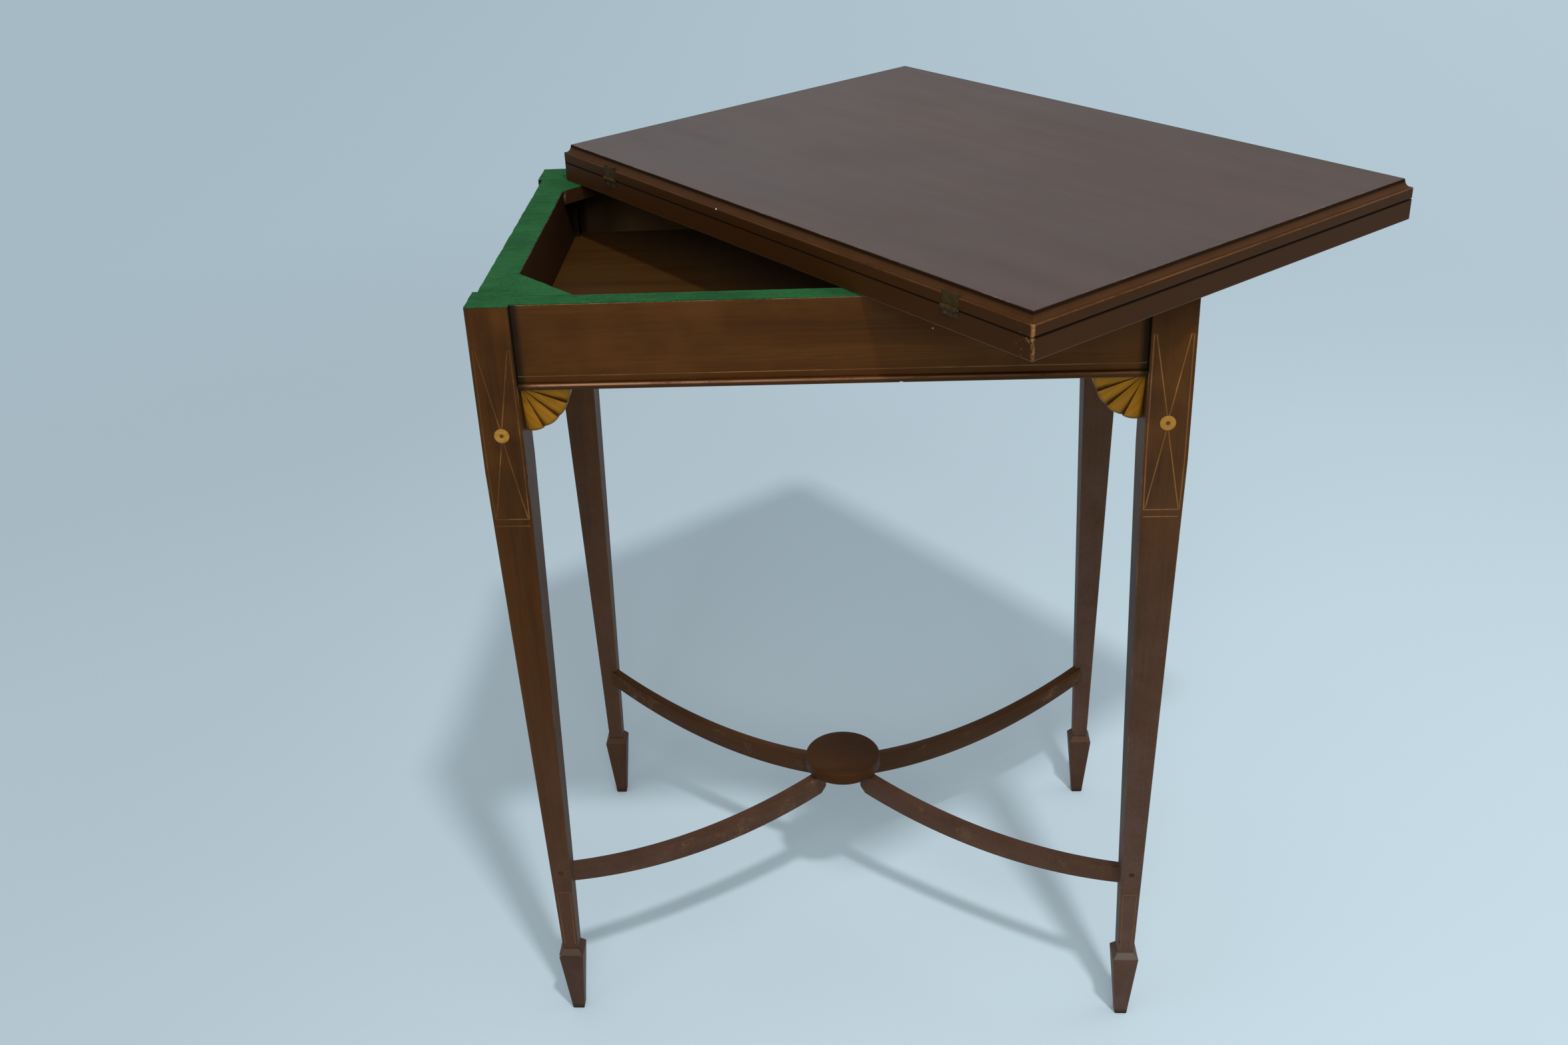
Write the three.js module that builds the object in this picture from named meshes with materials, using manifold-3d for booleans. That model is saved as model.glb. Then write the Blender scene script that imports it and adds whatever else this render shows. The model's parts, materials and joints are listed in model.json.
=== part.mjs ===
// A fold-over card table: a shallow well on four tapered legs, under a top that swivels and unfolds.
// Millimetres, +Z up, the front towards -Y. The frame is drawn about its own centre on the floor.
import * as THREE from 'three';
import { ConvexGeometry } from 'three/addons/geometries/ConvexGeometry.js';
import { mergeVertices } from 'three/addons/utils/BufferGeometryUtils.js';
import Module from 'manifold-3d';

const wasm = await Module();
wasm.setup();

// The least gap between neighbouring pieces, and how far a cut runs on past a face.
const gap = 0.3;
const past = 1;

// Frame, over the outer faces of its legs.
const frameLength = 530;
const frameDepth = 354;
const frameHeight = 700;

// Legs: square above, then tapered on all four faces down to the foot.
const legSide = 33;
const legTaperTop = 566;
const legOuterTaper = 10;
const legInnerTaper = 9;

// Spade feet: a chamfered shoulder over a long taper.
const footTop = 75;
const footShoulder = 69;
const footNeckSide = 14.4;
const footShoulderSide = 22.2;
const footBaseSide = 10.4;

// Aprons stand back from the legs, on a strip that is a bead outside and a ledge inside.
const apronRecess = 4;
const longApronThickness = 17;
const endApronThickness = 24.5;
const apronBottom = 638;
const beadBottom = 632.7;
const beadProjection = 3;
const beadNose = 1.4;
const ledgeWidth = 6;

// The well, its floor and the blocks across its corners.
const floorTop = 646;
const blockReach = 49.5;
const blockBottom = 688;
const rimBaizeThickness = 1.2;

// Fan brackets under the front apron, one flute for each pair of angles below the level.
const fanRadius = 37.7;
const fanScallop = 0.6;
const fanThickness = 13;
const fanSetback = 8.5;
const fanFluteDepth = 2.6;
const fanCutReach = 43;
const fanEdges = [0, 22, 44, 67, 90];

// Inlaid roundels on the front legs and plugs over the stretcher fixings.
const roundelRadius = 6;
const roundelHeight = 596.2;
const roundelThickness = 1.6;
const roundelProud = 0.4;
const plugRadius = 2;
const plugHeight = 163.4;
const plugLength = 6;

// Stretcher: four arms on the diagonals. Heights of their edges at three distances from the centre.
const armStations = [30, 155, 270];
const armTopHeights = [154.2, 140.5, 157];
const armBottomHeights = [133, 121, 140];
const armThickness = 9;
const armInnerEnd = 22;
const armOuterEnd = 288;
const armChamfer = 5.5;
const discTop = 167.7;
const discThickness = 11;
const discRadius = 36;
const discEase = 1.2;
const discTopDraw = 0.3;
const discScrewRadius = 1.8;
const discScrewHeadRadius = 3.6;
const discScrewHead = 2.4;
const discScrewSink = 1;
const discScrewDistance = 28;
const discScrewBite = 7;

// Top: two equal leaves. In the swivel's own frame the hinge edge faces -Y.
const leafLength = 579.5;
const leafWidth = 409;
const leafThickness = 16;
const leafClearance = 0.3;
const leafCentre = new THREE.Vector2(-110, 93);
const fieldInset = 5.8;
const leafCornerRadius = 1.8;
const leafEase = 0.8;
const noseDraw = 1.6;
const noseRise = 2.4;
const coveFoot = 9;
const coveLip = 1.1;
const coveLipRise = 1.3;
const coveTopRound = 0.6;
const baizeBorder = 30;
const baizeHingeBorder = 14;
const baizeRecess = 1.3;
const baizeThickness = 1;

// Swivel: pivot place in the frame, turn from closed as it stands, and the parts of the pivot.
const pivot = new THREE.Vector2(104, -95);
const swivelAngle = -50;
const swivelToOpen = -40;
const swivelToClosed = 50;
const railWidth = 74;
const railBottom = 679;
const railTop = 697;
const plateThickness = 1.9;
const swivelPlateRadius = 34;
const bearingPlateRadius = 20;
const boltRadius = 5;
const boltHeadRadius = 9;
const boltHeadThickness = 3;
const boltTip = 3;
const boltTipEase = 1;
const washerRadius = 13;
const washerThickness = 1.8;
const nutRadius = 9;
const nutThickness = 8;
const stopPinRadius = 2.5;
const stopPinCircle = 26;
const stopPinDepth = 6;
const stopPinAngle = 85;
const stopSpareAngle = 1;

// Fold hinges, let into the hinge edge with their knuckles on the seam.
const hingeSpacing = 426;
const hingeWidth = 16.5;
const hingePlateThickness = 1.6;
const hingeAxisOut = 0.25;
const knuckleRadius = 1.9;
const hingePinRadius = 0.8;
const hingePinPlay = 0.15;
const knuckleRoom = 0.4;
const hingeSeamRoom = 0.4;
const hingeUpperReach = 11.6;
const hingeLowerReach = 6.6;
const hingeNotchRadius = 2.7;
const hingeScrewSpacing = 9;
const hingeScrewRadius = 1.5;
const hingeShankRadius = 1.1;
const hingeScrewSink = 0.1;
const hingeScrewDrop = 4.4;
const hingeScrewLength = 8;
const foldAngle = 0;

// Heights and places that follow from the above.
const halfLength = frameLength / 2;
const halfDepth = frameDepth / 2;
const wellX = halfLength - apronRecess - endApronThickness;
const wellY = halfDepth - apronRecess - longApronThickness;
const rimTop = frameHeight + rimBaizeThickness;
const lowerLeafBottom = rimTop + leafClearance;
const seam = lowerLeafBottom + leafThickness + leafClearance / 2;
const upperLeafBottom = seam + leafClearance / 2;
const upperLeafTop = upperLeafBottom + leafThickness;
const hingeEdge = leafCentre.y - leafWidth / 2;
const foldAxisY = hingeEdge - hingeAxisOut;

const corners = [
  { name: 'front_left', x: -1, y: -1 },
  { name: 'front_right', x: 1, y: -1 },
  { name: 'back_left', x: -1, y: 1 },
  { name: 'back_right', x: 1, y: 1 },
];
const frontCorners = corners.filter((corner) => corner.y < 0);

const mahogany = new THREE.MeshStandardMaterial({ color: '#4a2a1b', roughness: 0.42, metalness: 0 });
const topMahogany = new THREE.MeshStandardMaterial({ color: '#573126', roughness: 0.36, metalness: 0 });
const bareMahogany = new THREE.MeshStandardMaterial({ color: '#6b4426', roughness: 0.7, metalness: 0 });
const satinwood = new THREE.MeshStandardMaterial({ color: '#b9822e', roughness: 0.45, metalness: 0 });
const boxwood = new THREE.MeshStandardMaterial({ color: '#dcae62', roughness: 0.45, metalness: 0 });
const baize = new THREE.MeshStandardMaterial({ color: '#157a45', roughness: 0.95, metalness: 0 });
const brass = new THREE.MeshStandardMaterial({ color: '#6d5a30', roughness: 0.5, metalness: 1 });
const iron = new THREE.MeshStandardMaterial({ color: '#55504a', roughness: 0.55, metalness: 1 });

// Turns a closed geometry into a solid that can be joined and cut.
function solidOf(geometry) {
  const bare = geometry.clone();
  bare.deleteAttribute('normal');
  bare.deleteAttribute('uv');
  const merged = mergeVertices(bare, 1e-4);
  const vertProperties = merged.getAttribute('position').array;
  const triVerts = new Uint32Array(merged.index.array);
  return new wasm.Manifold(new wasm.Mesh({ numProp: 3, vertProperties, triVerts }));
}

function geometryOf(solid) {
  const mesh = solid.getMesh();
  const geometry = new THREE.BufferGeometry();
  geometry.setAttribute('position', new THREE.BufferAttribute(mesh.vertProperties, 3));
  geometry.setIndex(new THREE.BufferAttribute(mesh.triVerts, 1));
  geometry.computeVertexNormals();
  return geometry;
}

function cut(geometry, tools) {
  return geometryOf(tools.reduce((solid, tool) => solid.subtract(solidOf(tool)), solidOf(geometry)));
}

function within(geometry, bounds) {
  return geometryOf(solidOf(geometry).intersect(solidOf(bounds)));
}

function join(geometry, others) {
  return geometryOf(others.reduce((solid, other) => solid.add(solidOf(other)), solidOf(geometry)));
}

// The low and high ends of a stretch from a to b on the side that sign gives.
function span(sign, a, b) {
  return sign > 0 ? [a, b] : [-b, -a];
}

// A box whose four walls pass through a rectangle at each height.
function sectionedBox(sections) {
  const steps = sections.length - 1;
  const geometry = new THREE.BoxGeometry(1, 1, 1, 1, 1, steps);
  const points = geometry.getAttribute('position');
  for (let i = 0; i < points.count; i += 1) {
    const section = sections[Math.round((points.getZ(i) + 0.5) * steps)];
    const x = section.x[points.getX(i) > 0 ? 1 : 0];
    const y = section.y[points.getY(i) > 0 ? 1 : 0];
    points.setXYZ(i, x, y, section.z);
  }
  geometry.computeVertexNormals();
  return geometry;
}

function block(x, y, z) {
  return sectionedBox([{ x, y, z: z[0] }, { x, y, z: z[1] }]);
}

// A plan outline raised from one height to another.
function prism(outline, z, curveSegments = 24) {
  const depth = z[1] - z[0];
  const geometry = new THREE.ExtrudeGeometry(outline, { depth, bevelEnabled: false, curveSegments });
  return geometry.translate(0, 0, z[0]);
}

function shapeOf(points) {
  return new THREE.Shape(points.map(([x, y]) => new THREE.Vector2(x, y)));
}

function uprightCylinder(x, y, radius, z, sides = 32) {
  const geometry = new THREE.CylinderGeometry(radius, radius, z[1] - z[0], sides);
  return geometry.rotateX(Math.PI / 2).translate(x, y, (z[0] + z[1]) / 2);
}

// A cylinder along Y from one place to another.
function levelCylinder(x, y, z, radius, sides = 24) {
  return new THREE.CylinderGeometry(radius, radius, y[1] - y[0], sides).translate(x, (y[0] + y[1]) / 2, z);
}

// A cylinder along X, the direction of the seam between the leaves.
function seamCylinder(x, y, z, radius, sides = 20) {
  const geometry = new THREE.CylinderGeometry(radius, radius, x[1] - x[0], sides);
  return geometry.rotateZ(Math.PI / 2).translate((x[0] + x[1]) / 2, y, z);
}

// A turned piece about the upright axis at x, y, from radius and height pairs.
function turned(x, y, profile, sides = 48) {
  const points = profile.map(([radius, z]) => new THREE.Vector2(radius, z));
  return new THREE.LatheGeometry(points, sides).rotateX(Math.PI / 2).translate(x, y, 0);
}

function named(name, geometry, material) {
  const mesh = new THREE.Mesh(geometry, material);
  mesh.name = name;
  return mesh;
}

// A leg's rectangle at each change of slope, with every wall moved out by an allowance.
function legSections(corner, allowance = 0) {
  const levels = [
    { z: footTop, taper: 1 },
    { z: legTaperTop, taper: 0 },
    { z: frameHeight, taper: 0 },
  ];
  return levels.map(({ z, taper }) => {
    const outer = taper * legOuterTaper - allowance;
    const inner = legSide - taper * legInnerTaper + allowance;
    return {
      z,
      x: span(corner.x, halfLength - inner, halfLength - outer),
      y: span(corner.y, halfDepth - inner, halfDepth - outer),
    };
  });
}

// The leg's outer face on the Y side at a height on its taper, and its middle along X there.
function legFaceY(z) {
  const taper = Math.max(0, (legTaperTop - z) / (legTaperTop - footTop));
  return halfDepth - taper * legOuterTaper;
}

function legMiddleX(z) {
  const taper = Math.max(0, (legTaperTop - z) / (legTaperTop - footTop));
  return halfLength - (legSide + taper * (legOuterTaper - legInnerTaper)) / 2;
}

function leg(corner) {
  const plugY = legFaceY(plugHeight);
  const plugHole = span(corner.y, plugY - plugLength - gap, plugY + past);
  const tools = [levelCylinder(corner.x * legMiddleX(plugHeight), plugHole, plugHeight, plugRadius + gap)];
  if (corner.y < 0) {
    const seat = span(corner.y, halfDepth - roundelThickness - gap, halfDepth + past);
    const roundelX = corner.x * legMiddleX(roundelHeight);
    tools.push(levelCylinder(roundelX, seat, roundelHeight, roundelRadius + gap, 36));
  }
  return named(`leg_${corner.name}`, cut(sectionedBox(legSections(corner)), tools), mahogany);
}

function plug(corner) {
  const face = legFaceY(plugHeight);
  const y = span(corner.y, face - plugLength, face);
  const geometry = levelCylinder(corner.x * legMiddleX(plugHeight), y, plugHeight, plugRadius, 20);
  return named(`screw_plug_${corner.name}`, geometry, mahogany);
}

function roundel(corner) {
  const y = span(corner.y, halfDepth - roundelThickness, halfDepth + roundelProud);
  const geometry = levelCylinder(corner.x * legMiddleX(roundelHeight), y, roundelHeight, roundelRadius, 36);
  return named(`roundel_${corner.name}`, geometry, boxwood);
}

function spadeFoot(corner) {
  const x = corner.x * legMiddleX(footTop);
  const y = corner.y * (legFaceY(footTop) - (legSide - legOuterTaper - legInnerTaper) / 2);
  const levels = [[0, footBaseSide], [footShoulder, footShoulderSide], [footTop - gap, footNeckSide]];
  const sections = levels.map(([z, side]) => ({
    z,
    x: [x - side / 2, x + side / 2],
    y: [y - side / 2, y + side / 2],
  }));
  return named(`spade_foot_${corner.name}`, sectionedBox(sections), mahogany);
}

function longApron(name, side) {
  const x = [legSide + gap - halfLength, halfLength - legSide - gap];
  const y = span(side, wellY, halfDepth - apronRecess);
  return named(`apron_${name}`, block(x, y, [apronBottom, frameHeight]), mahogany);
}

function endApron(name, side) {
  const x = span(side, wellX, halfLength - apronRecess);
  const y = [legSide + gap - halfDepth, halfDepth - legSide - gap];
  return named(`apron_${name}`, block(x, y, [apronBottom, frameHeight]), mahogany);
}

// The strip's section: a rounded nose outside, square inside, out being the distance outwards.
function beadSection(inner, outer) {
  const top = apronBottom - gap;
  const middle = (top + beadBottom) / 2;
  const half = (top - beadBottom) / 2;
  const points = [[inner, beadBottom], [outer - beadNose, beadBottom]];
  const steps = 6;
  for (let i = 1; i < steps; i += 1) {
    const angle = Math.PI * (i / steps - 0.5);
    points.push([outer - beadNose + beadNose * Math.cos(angle), middle + half * Math.sin(angle)]);
  }
  points.push([outer - beadNose, top], [inner, top]);
  return shapeOf(points);
}

// Stands a section, drawn outwards and up, along a side of the frame.
function alongSide(section, length, outward) {
  const geometry = new THREE.ExtrudeGeometry(section, { depth: length, bevelEnabled: false });
  geometry.translate(0, 0, -length / 2);
  const up = new THREE.Vector3(0, 0, 1);
  const along = new THREE.Vector3().crossVectors(outward, up);
  return geometry.applyMatrix4(new THREE.Matrix4().makeBasis(outward, up, along));
}

function beadStrip(name, outward) {
  const onEnd = outward.x !== 0;
  const inner = (onEnd ? wellX : wellY) - ledgeWidth;
  const outer = (onEnd ? halfLength : halfDepth) - apronRecess + beadProjection;
  const length = (onEnd ? frameDepth : frameLength) - 2 * (legSide + gap);
  return named(`apron_bead_${name}`, alongSide(beadSection(inner, outer), length, outward), mahogany);
}

// A triangle across a corner of the well, notched round the leg.
function cornerBlock(corner) {
  const legX = legSide - apronRecess - endApronThickness + gap;
  const legY = legSide - apronRecess - longApronThickness + gap;
  const outline = [[legX, gap], [blockReach, gap], [gap, blockReach], [gap, legY], [legX, legY]];
  const placed = outline.map(([x, y]) => [corner.x * (wellX - x), corner.y * (wellY - y)]);
  const geometry = prism(shapeOf(placed), [blockBottom, frameHeight]);
  return named(`corner_block_${corner.name}`, geometry, bareMahogany);
}

function wellFloor() {
  const notchX = halfLength - legSide - gap;
  const notchY = halfDepth - legSide - gap;
  const x = wellX - gap;
  const y = wellY - gap;
  const quarter = [[x, notchY], [notchX, notchY], [notchX, y]];
  const points = [
    ...quarter,
    ...quarter.map(([a, b]) => [-a, b]).reverse(),
    ...quarter.map(([a, b]) => [-a, -b]),
    ...quarter.map(([a, b]) => [a, -b]).reverse(),
  ];
  return named('well_floor', prism(shapeOf(points), [apronBottom, floorTop]), bareMahogany);
}

// The covering of the rim: out to the faces of legs and aprons, in to the well and its corner blocks.
function rimBaize() {
  const legX = halfLength - legSide;
  const legY = halfDepth - legSide;
  const outer = [
    [halfLength - apronRecess, legY],
    [halfLength, legY],
    [halfLength, halfDepth],
    [legX, halfDepth],
    [legX, halfDepth - apronRecess],
  ];
  const inner = [[wellX, wellY - blockReach], [wellX - blockReach, wellY]];
  const round = (quarter) => [
    ...quarter,
    ...quarter.map(([a, b]) => [-a, b]).reverse(),
    ...quarter.map(([a, b]) => [-a, -b]),
    ...quarter.map(([a, b]) => [a, -b]).reverse(),
  ];
  const outline = shapeOf(round(outer));
  outline.holes.push(shapeOf(round(inner)));
  return named('rim_baize', prism(outline, [frameHeight, rimTop]), baize);
}

// A quarter fan under the apron beside a front leg, with a ramped flute between each two edges.
function fanBracket(corner) {
  const centreX = halfLength - legSide - gap;
  const top = beadBottom - gap;
  const back = halfDepth - fanSetback - fanThickness;
  const front = halfDepth - fanSetback;
  const place = (radius, degrees, y) => {
    const angle = THREE.MathUtils.degToRad(degrees);
    return new THREE.Vector3(
      corner.x * (centreX - radius * Math.cos(angle)),
      corner.y * y,
      top - radius * Math.sin(angle),
    );
  };
  const rim = [];
  const steps = 6;
  for (let flute = 1; flute < fanEdges.length; flute += 1) {
    for (let i = 0; i < steps; i += 1) {
      const t = i / steps;
      const degrees = fanEdges[flute - 1] + t * (fanEdges[flute] - fanEdges[flute - 1]);
      const point = place(fanRadius - fanScallop * (1 - Math.sin(Math.PI * t)), degrees, 0);
      rim.push([point.x, point.z]);
    }
  }
  const last = place(fanRadius - fanScallop, fanEdges.at(-1), 0);
  rim.push([last.x, last.z], [corner.x * centreX, top]);
  const body = alongSide(shapeOf(rim), fanThickness, new THREE.Vector3(1, 0, 0));
  body.translate(0, corner.y * (front + back) / 2, 0);
  const tools = fanEdges.slice(1, -1).map((edge, i) => new ConvexGeometry([
    place(0, 0, front + past),
    place(fanCutReach, edge, front + past),
    place(fanCutReach, (fanEdges[i] + edge) / 2, front + past),
    place(fanCutReach, edge, front - fanFluteDepth),
  ]));
  return named(`fan_bracket_${corner.name}`, cut(body, tools), satinwood);
}

// Height at a distance s on the circle through an edge's three stations.
function arcHeight(heights, s) {
  const [a, b, c] = armStations.map((station, i) => new THREE.Vector2(station, heights[i]));
  const d = 2 * (a.x * (b.y - c.y) + b.x * (c.y - a.y) + c.x * (a.y - b.y));
  const [aa, bb, cc] = [a.lengthSq(), b.lengthSq(), c.lengthSq()];
  const x = (aa * (b.y - c.y) + bb * (c.y - a.y) + cc * (a.y - b.y)) / d;
  const y = (aa * (c.x - b.x) + bb * (a.x - c.x) + cc * (b.x - a.x)) / d;
  const radius = Math.hypot(a.x - x, a.y - y);
  return y - Math.sqrt(radius * radius - (s - x) ** 2);
}

function stretcherOutward(corner) {
  const footX = legMiddleX(footTop) - (legSide - legOuterTaper - legInnerTaper) / 2;
  const footY = legFaceY(footTop) - (legSide - legOuterTaper - legInnerTaper);
  return new THREE.Vector3(corner.x * footX, corner.y * footY, 0).normalize();
}

// A dipping arm on a diagonal, its inner end chamfered below and its outer end notched over the leg.
function stretcherArm(corner) {
  const steps = 18;
  const top = [];
  const bottom = [];
  for (let i = 0; i <= steps; i += 1) {
    const s = armInnerEnd + (i / steps) * (armOuterEnd - armInnerEnd);
    top.unshift([s, arcHeight(armTopHeights, s)]);
    if (i > 0) bottom.push([s, arcHeight(armBottomHeights, s)]);
  }
  const heel = arcHeight(armBottomHeights, armInnerEnd);
  const chamfer = [[armInnerEnd, heel + armChamfer], [armInnerEnd + armChamfer, heel]];
  const outward = stretcherOutward(corner);
  const bar = alongSide(shapeOf([...chamfer, ...bottom, ...top]), armThickness, outward);
  const screw = discScrewPlace(corner);
  const under = Math.min(...armBottomHeights) - past;
  const tools = [
    sectionedBox(legSections(corner, gap)),
    uprightCylinder(screw.x, screw.y, discScrewRadius + gap, [under, discTop], 16),
    uprightCylinder(screw.x, screw.y, discScrewHeadRadius + gap, [under, screwSeat()], 20),
  ];
  return named(`stretcher_arm_${corner.name}`, cut(bar, tools), mahogany);
}

// The level in the arms at which the disc screws' heads stop.
function screwSeat() {
  return arcHeight(armBottomHeights, discScrewDistance) + discScrewHead + discScrewSink;
}

function discScrewPlace(corner) {
  return stretcherOutward(corner).multiplyScalar(discScrewDistance);
}

function stretcherDisc() {
  const bottom = discTop - discThickness;
  const profile = [[0, bottom], [discRadius - discEase, bottom]];
  const steps = 3;
  for (let i = 1; i <= steps; i += 1) {
    const angle = (i / steps) * (Math.PI / 2);
    profile.push([
      discRadius - discEase + discEase * Math.sin(angle),
      bottom + discEase * (1 - Math.cos(angle)),
    ]);
  }
  profile.push([discRadius - discTopDraw, discTop - discEase]);
  profile.push([discRadius - discEase, discTop], [0, discTop]);
  const holes = corners.map((corner) => {
    const place = discScrewPlace(corner);
    const z = [bottom - past, bottom + discScrewBite + gap];
    return uprightCylinder(place.x, place.y, discScrewRadius + gap, z, 16);
  });
  return named('stretcher_disc', cut(turned(0, 0, profile), holes), mahogany);
}

function discScrew(corner) {
  const place = discScrewPlace(corner);
  const seat = screwSeat() - gap;
  const tip = discTop - discThickness + discScrewBite;
  const profile = [
    [0, seat - discScrewHead],
    [discScrewHeadRadius, seat - discScrewHead],
    [discScrewRadius, seat],
    [discScrewRadius, tip - discScrewRadius],
    [0, tip],
  ];
  return named(`disc_screw_${corner.name}`, turned(place.x, place.y, profile, 12), iron);
}

// A round-ended slot along an arc of the stop pin's circle, for the angles the top can turn through.
function stopSlot(z) {
  const half = stopPinRadius + gap;
  const toRadians = THREE.MathUtils.degToRad;
  const from = toRadians(stopPinAngle + swivelToOpen - stopSpareAngle);
  const to = toRadians(stopPinAngle + swivelToClosed + stopSpareAngle);
  const end = (angle) => [
    pivot.x + stopPinCircle * Math.cos(angle),
    pivot.y + stopPinCircle * Math.sin(angle),
  ];
  const outline = new THREE.Shape();
  outline.absarc(pivot.x, pivot.y, stopPinCircle + half, from, to, false);
  outline.absarc(...end(to), half, to, to + Math.PI, false);
  outline.absarc(pivot.x, pivot.y, stopPinCircle - half, to, from, true);
  outline.absarc(...end(from), half, from + Math.PI, from + 2 * Math.PI, false);
  return prism(outline, z);
}

function pivotRail() {
  const x = [pivot.x - railWidth / 2, pivot.x + railWidth / 2];
  const y = [gap - wellY, wellY - gap];
  const tools = [
    uprightCylinder(pivot.x, pivot.y, boltRadius + gap, [railBottom - past, railTop + past]),
    stopSlot([railTop - stopPinDepth - gap, railTop + past]),
  ];
  return named('pivot_rail', cut(block(x, y, [railBottom, railTop]), tools), bareMahogany);
}

// A flat ring about an upright axis.
function ring(x, y, radius, holeRadius, z, sides = 40) {
  const start = [holeRadius, z[0]];
  const profile = [start, [radius, z[0]], [radius, z[1]], [holeRadius, z[1]], start];
  return turned(x, y, profile, sides);
}

const bearingBottom = railTop + gap / 2;
const bearingTop = bearingBottom + plateThickness;
const swivelPlateTop = lowerLeafBottom - gap / 2;
const swivelPlateBottom = bearingTop + gap;
const washerTop = railBottom - gap;
const nutTop = washerTop - washerThickness - gap;

function bearingPlate() {
  const z = [bearingBottom, bearingTop];
  const geometry = ring(pivot.x, pivot.y, bearingPlateRadius, boltRadius + gap, z);
  return named('bearing_plate', geometry, brass);
}

// The parts that turn with the top are drawn about the pivot, with the hinge edge towards -Y.
function swivelPlate() {
  const z = [swivelPlateBottom, swivelPlateTop];
  const pin = stopPinPlace();
  const plate = ring(0, 0, swivelPlateRadius, boltRadius + gap, z, 48);
  const hole = uprightCylinder(pin.x, pin.y, stopPinRadius + gap, [z[0] - past, z[1] + past], 24);
  return named('swivel_plate', cut(plate, [hole]), iron);
}

function swivelBolt() {
  const tip = nutTop - nutThickness - boltTip;
  const profile = [
    [0, tip],
    [boltRadius - boltTipEase, tip],
    [boltRadius, tip + boltTipEase],
    [boltRadius, lowerLeafBottom],
    [boltHeadRadius, lowerLeafBottom],
    [boltHeadRadius, lowerLeafBottom + boltHeadThickness],
    [0, lowerLeafBottom + boltHeadThickness],
  ];
  return named('swivel_bolt', turned(0, 0, profile, 32), iron);
}

function swivelWasher() {
  const z = [washerTop - washerThickness, washerTop];
  return named('swivel_washer', ring(0, 0, washerRadius, boltRadius + gap, z), iron);
}

function swivelNut() {
  const outline = new THREE.Shape();
  outline.setFromPoints([...Array(6).keys()].map((i) => {
    const angle = (i * Math.PI) / 3;
    return new THREE.Vector2(nutRadius * Math.cos(angle), nutRadius * Math.sin(angle));
  }));
  const hole = new THREE.Path();
  hole.absarc(0, 0, boltRadius + gap, 0, 2 * Math.PI, true);
  outline.holes.push(hole);
  return named('swivel_nut', prism(outline, [nutTop - nutThickness, nutTop]), iron);
}

// The stop pin's place beside the bolt, turned back by the angle at which the top stands.
function stopPinPlace() {
  const angle = THREE.MathUtils.degToRad(stopPinAngle - swivelAngle);
  return new THREE.Vector2(stopPinCircle * Math.cos(angle), stopPinCircle * Math.sin(angle));
}

function stopPin() {
  const pin = stopPinPlace();
  const z = [railTop - stopPinDepth, swivelPlateTop];
  return named('stop_pin', uprightCylinder(pin.x, pin.y, stopPinRadius, z, 20), iron);
}

// A leaf's rectangle drawn in by an inset at a height, by one of its own on the hinge edge.
function leafSection(inset, z, hingeInset = inset) {
  const halfX = leafLength / 2 - inset;
  return {
    z,
    x: [leafCentre.x - halfX, leafCentre.x + halfX],
    y: [hingeEdge + hingeInset, leafCentre.y + leafWidth / 2 - inset],
  };
}

// A quarter round of the edge, as insets and rises from the arris, on the way out and up.
function easedRise(draw, rise, steps) {
  return [...Array(steps).keys()].map((i) => {
    const angle = (i / steps) * (Math.PI / 2);
    return { inset: draw * (1 - Math.sin(angle)), height: rise * (1 - Math.cos(angle)) };
  });
}

// A leaf's plan with its corners rubbed round, as tall as both leaves.
function roundedPlan() {
  const [x0, x1] = [leafCentre.x - leafLength / 2, leafCentre.x + leafLength / 2];
  const [y0, y1] = [hingeEdge, hingeEdge + leafWidth];
  const r = leafCornerRadius;
  const outline = new THREE.Shape();
  outline.absarc(x1 - r, y0 + r, r, -Math.PI / 2, 0, false);
  outline.absarc(x1 - r, y1 - r, r, 0, Math.PI / 2, false);
  outline.absarc(x0 + r, y1 - r, r, Math.PI / 2, Math.PI, false);
  outline.absarc(x0 + r, y0 + r, r, Math.PI, 1.5 * Math.PI, false);
  return prism(outline, [lowerLeafBottom - past, upperLeafTop + past], 5);
}

// The panel of baize let into a leaf, with a narrower border beside the hinges.
function baizeField(z, allowance) {
  const halfX = leafLength / 2 - baizeBorder + allowance;
  const x = [leafCentre.x - halfX, leafCentre.x + halfX];
  const y = [
    hingeEdge + baizeHingeBorder - allowance,
    leafCentre.y + leafWidth / 2 - baizeBorder + allowance,
  ];
  return block(x, y, z);
}

const hingePlaces = [
  { name: 'front', x: leafCentre.x + hingeSpacing / 2 },
  { name: 'back', x: leafCentre.x - hingeSpacing / 2 },
];

// What a hinge takes out of a leaf: the bed of its plate and the room round its knuckles.
function hingeBeds(side) {
  return hingePlaces.flatMap(({ x }) => {
    const half = hingeWidth / 2 + gap;
    const z = side > 0
      ? [seam - past, upperLeafTop + past]
      : [seam - hingeLowerReach - gap, seam + past];
    return [
      block([x - half, x + half], [hingeEdge - past, hingeEdge + hingePlateThickness + gap], z),
      seamCylinder([x - half, x + half], foldAxisY, seam, knuckleRadius + knuckleRoom),
    ];
  });
}

function hingeScrewHoles() {
  return hingeScrewPlaces().map(({ x }) => {
    const y = [hingeEdge, hingeEdge + hingeScrewLength + gap];
    return levelCylinder(x, y, hingeScrewLevel, hingeShankRadius + gap, 12);
  });
}

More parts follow.
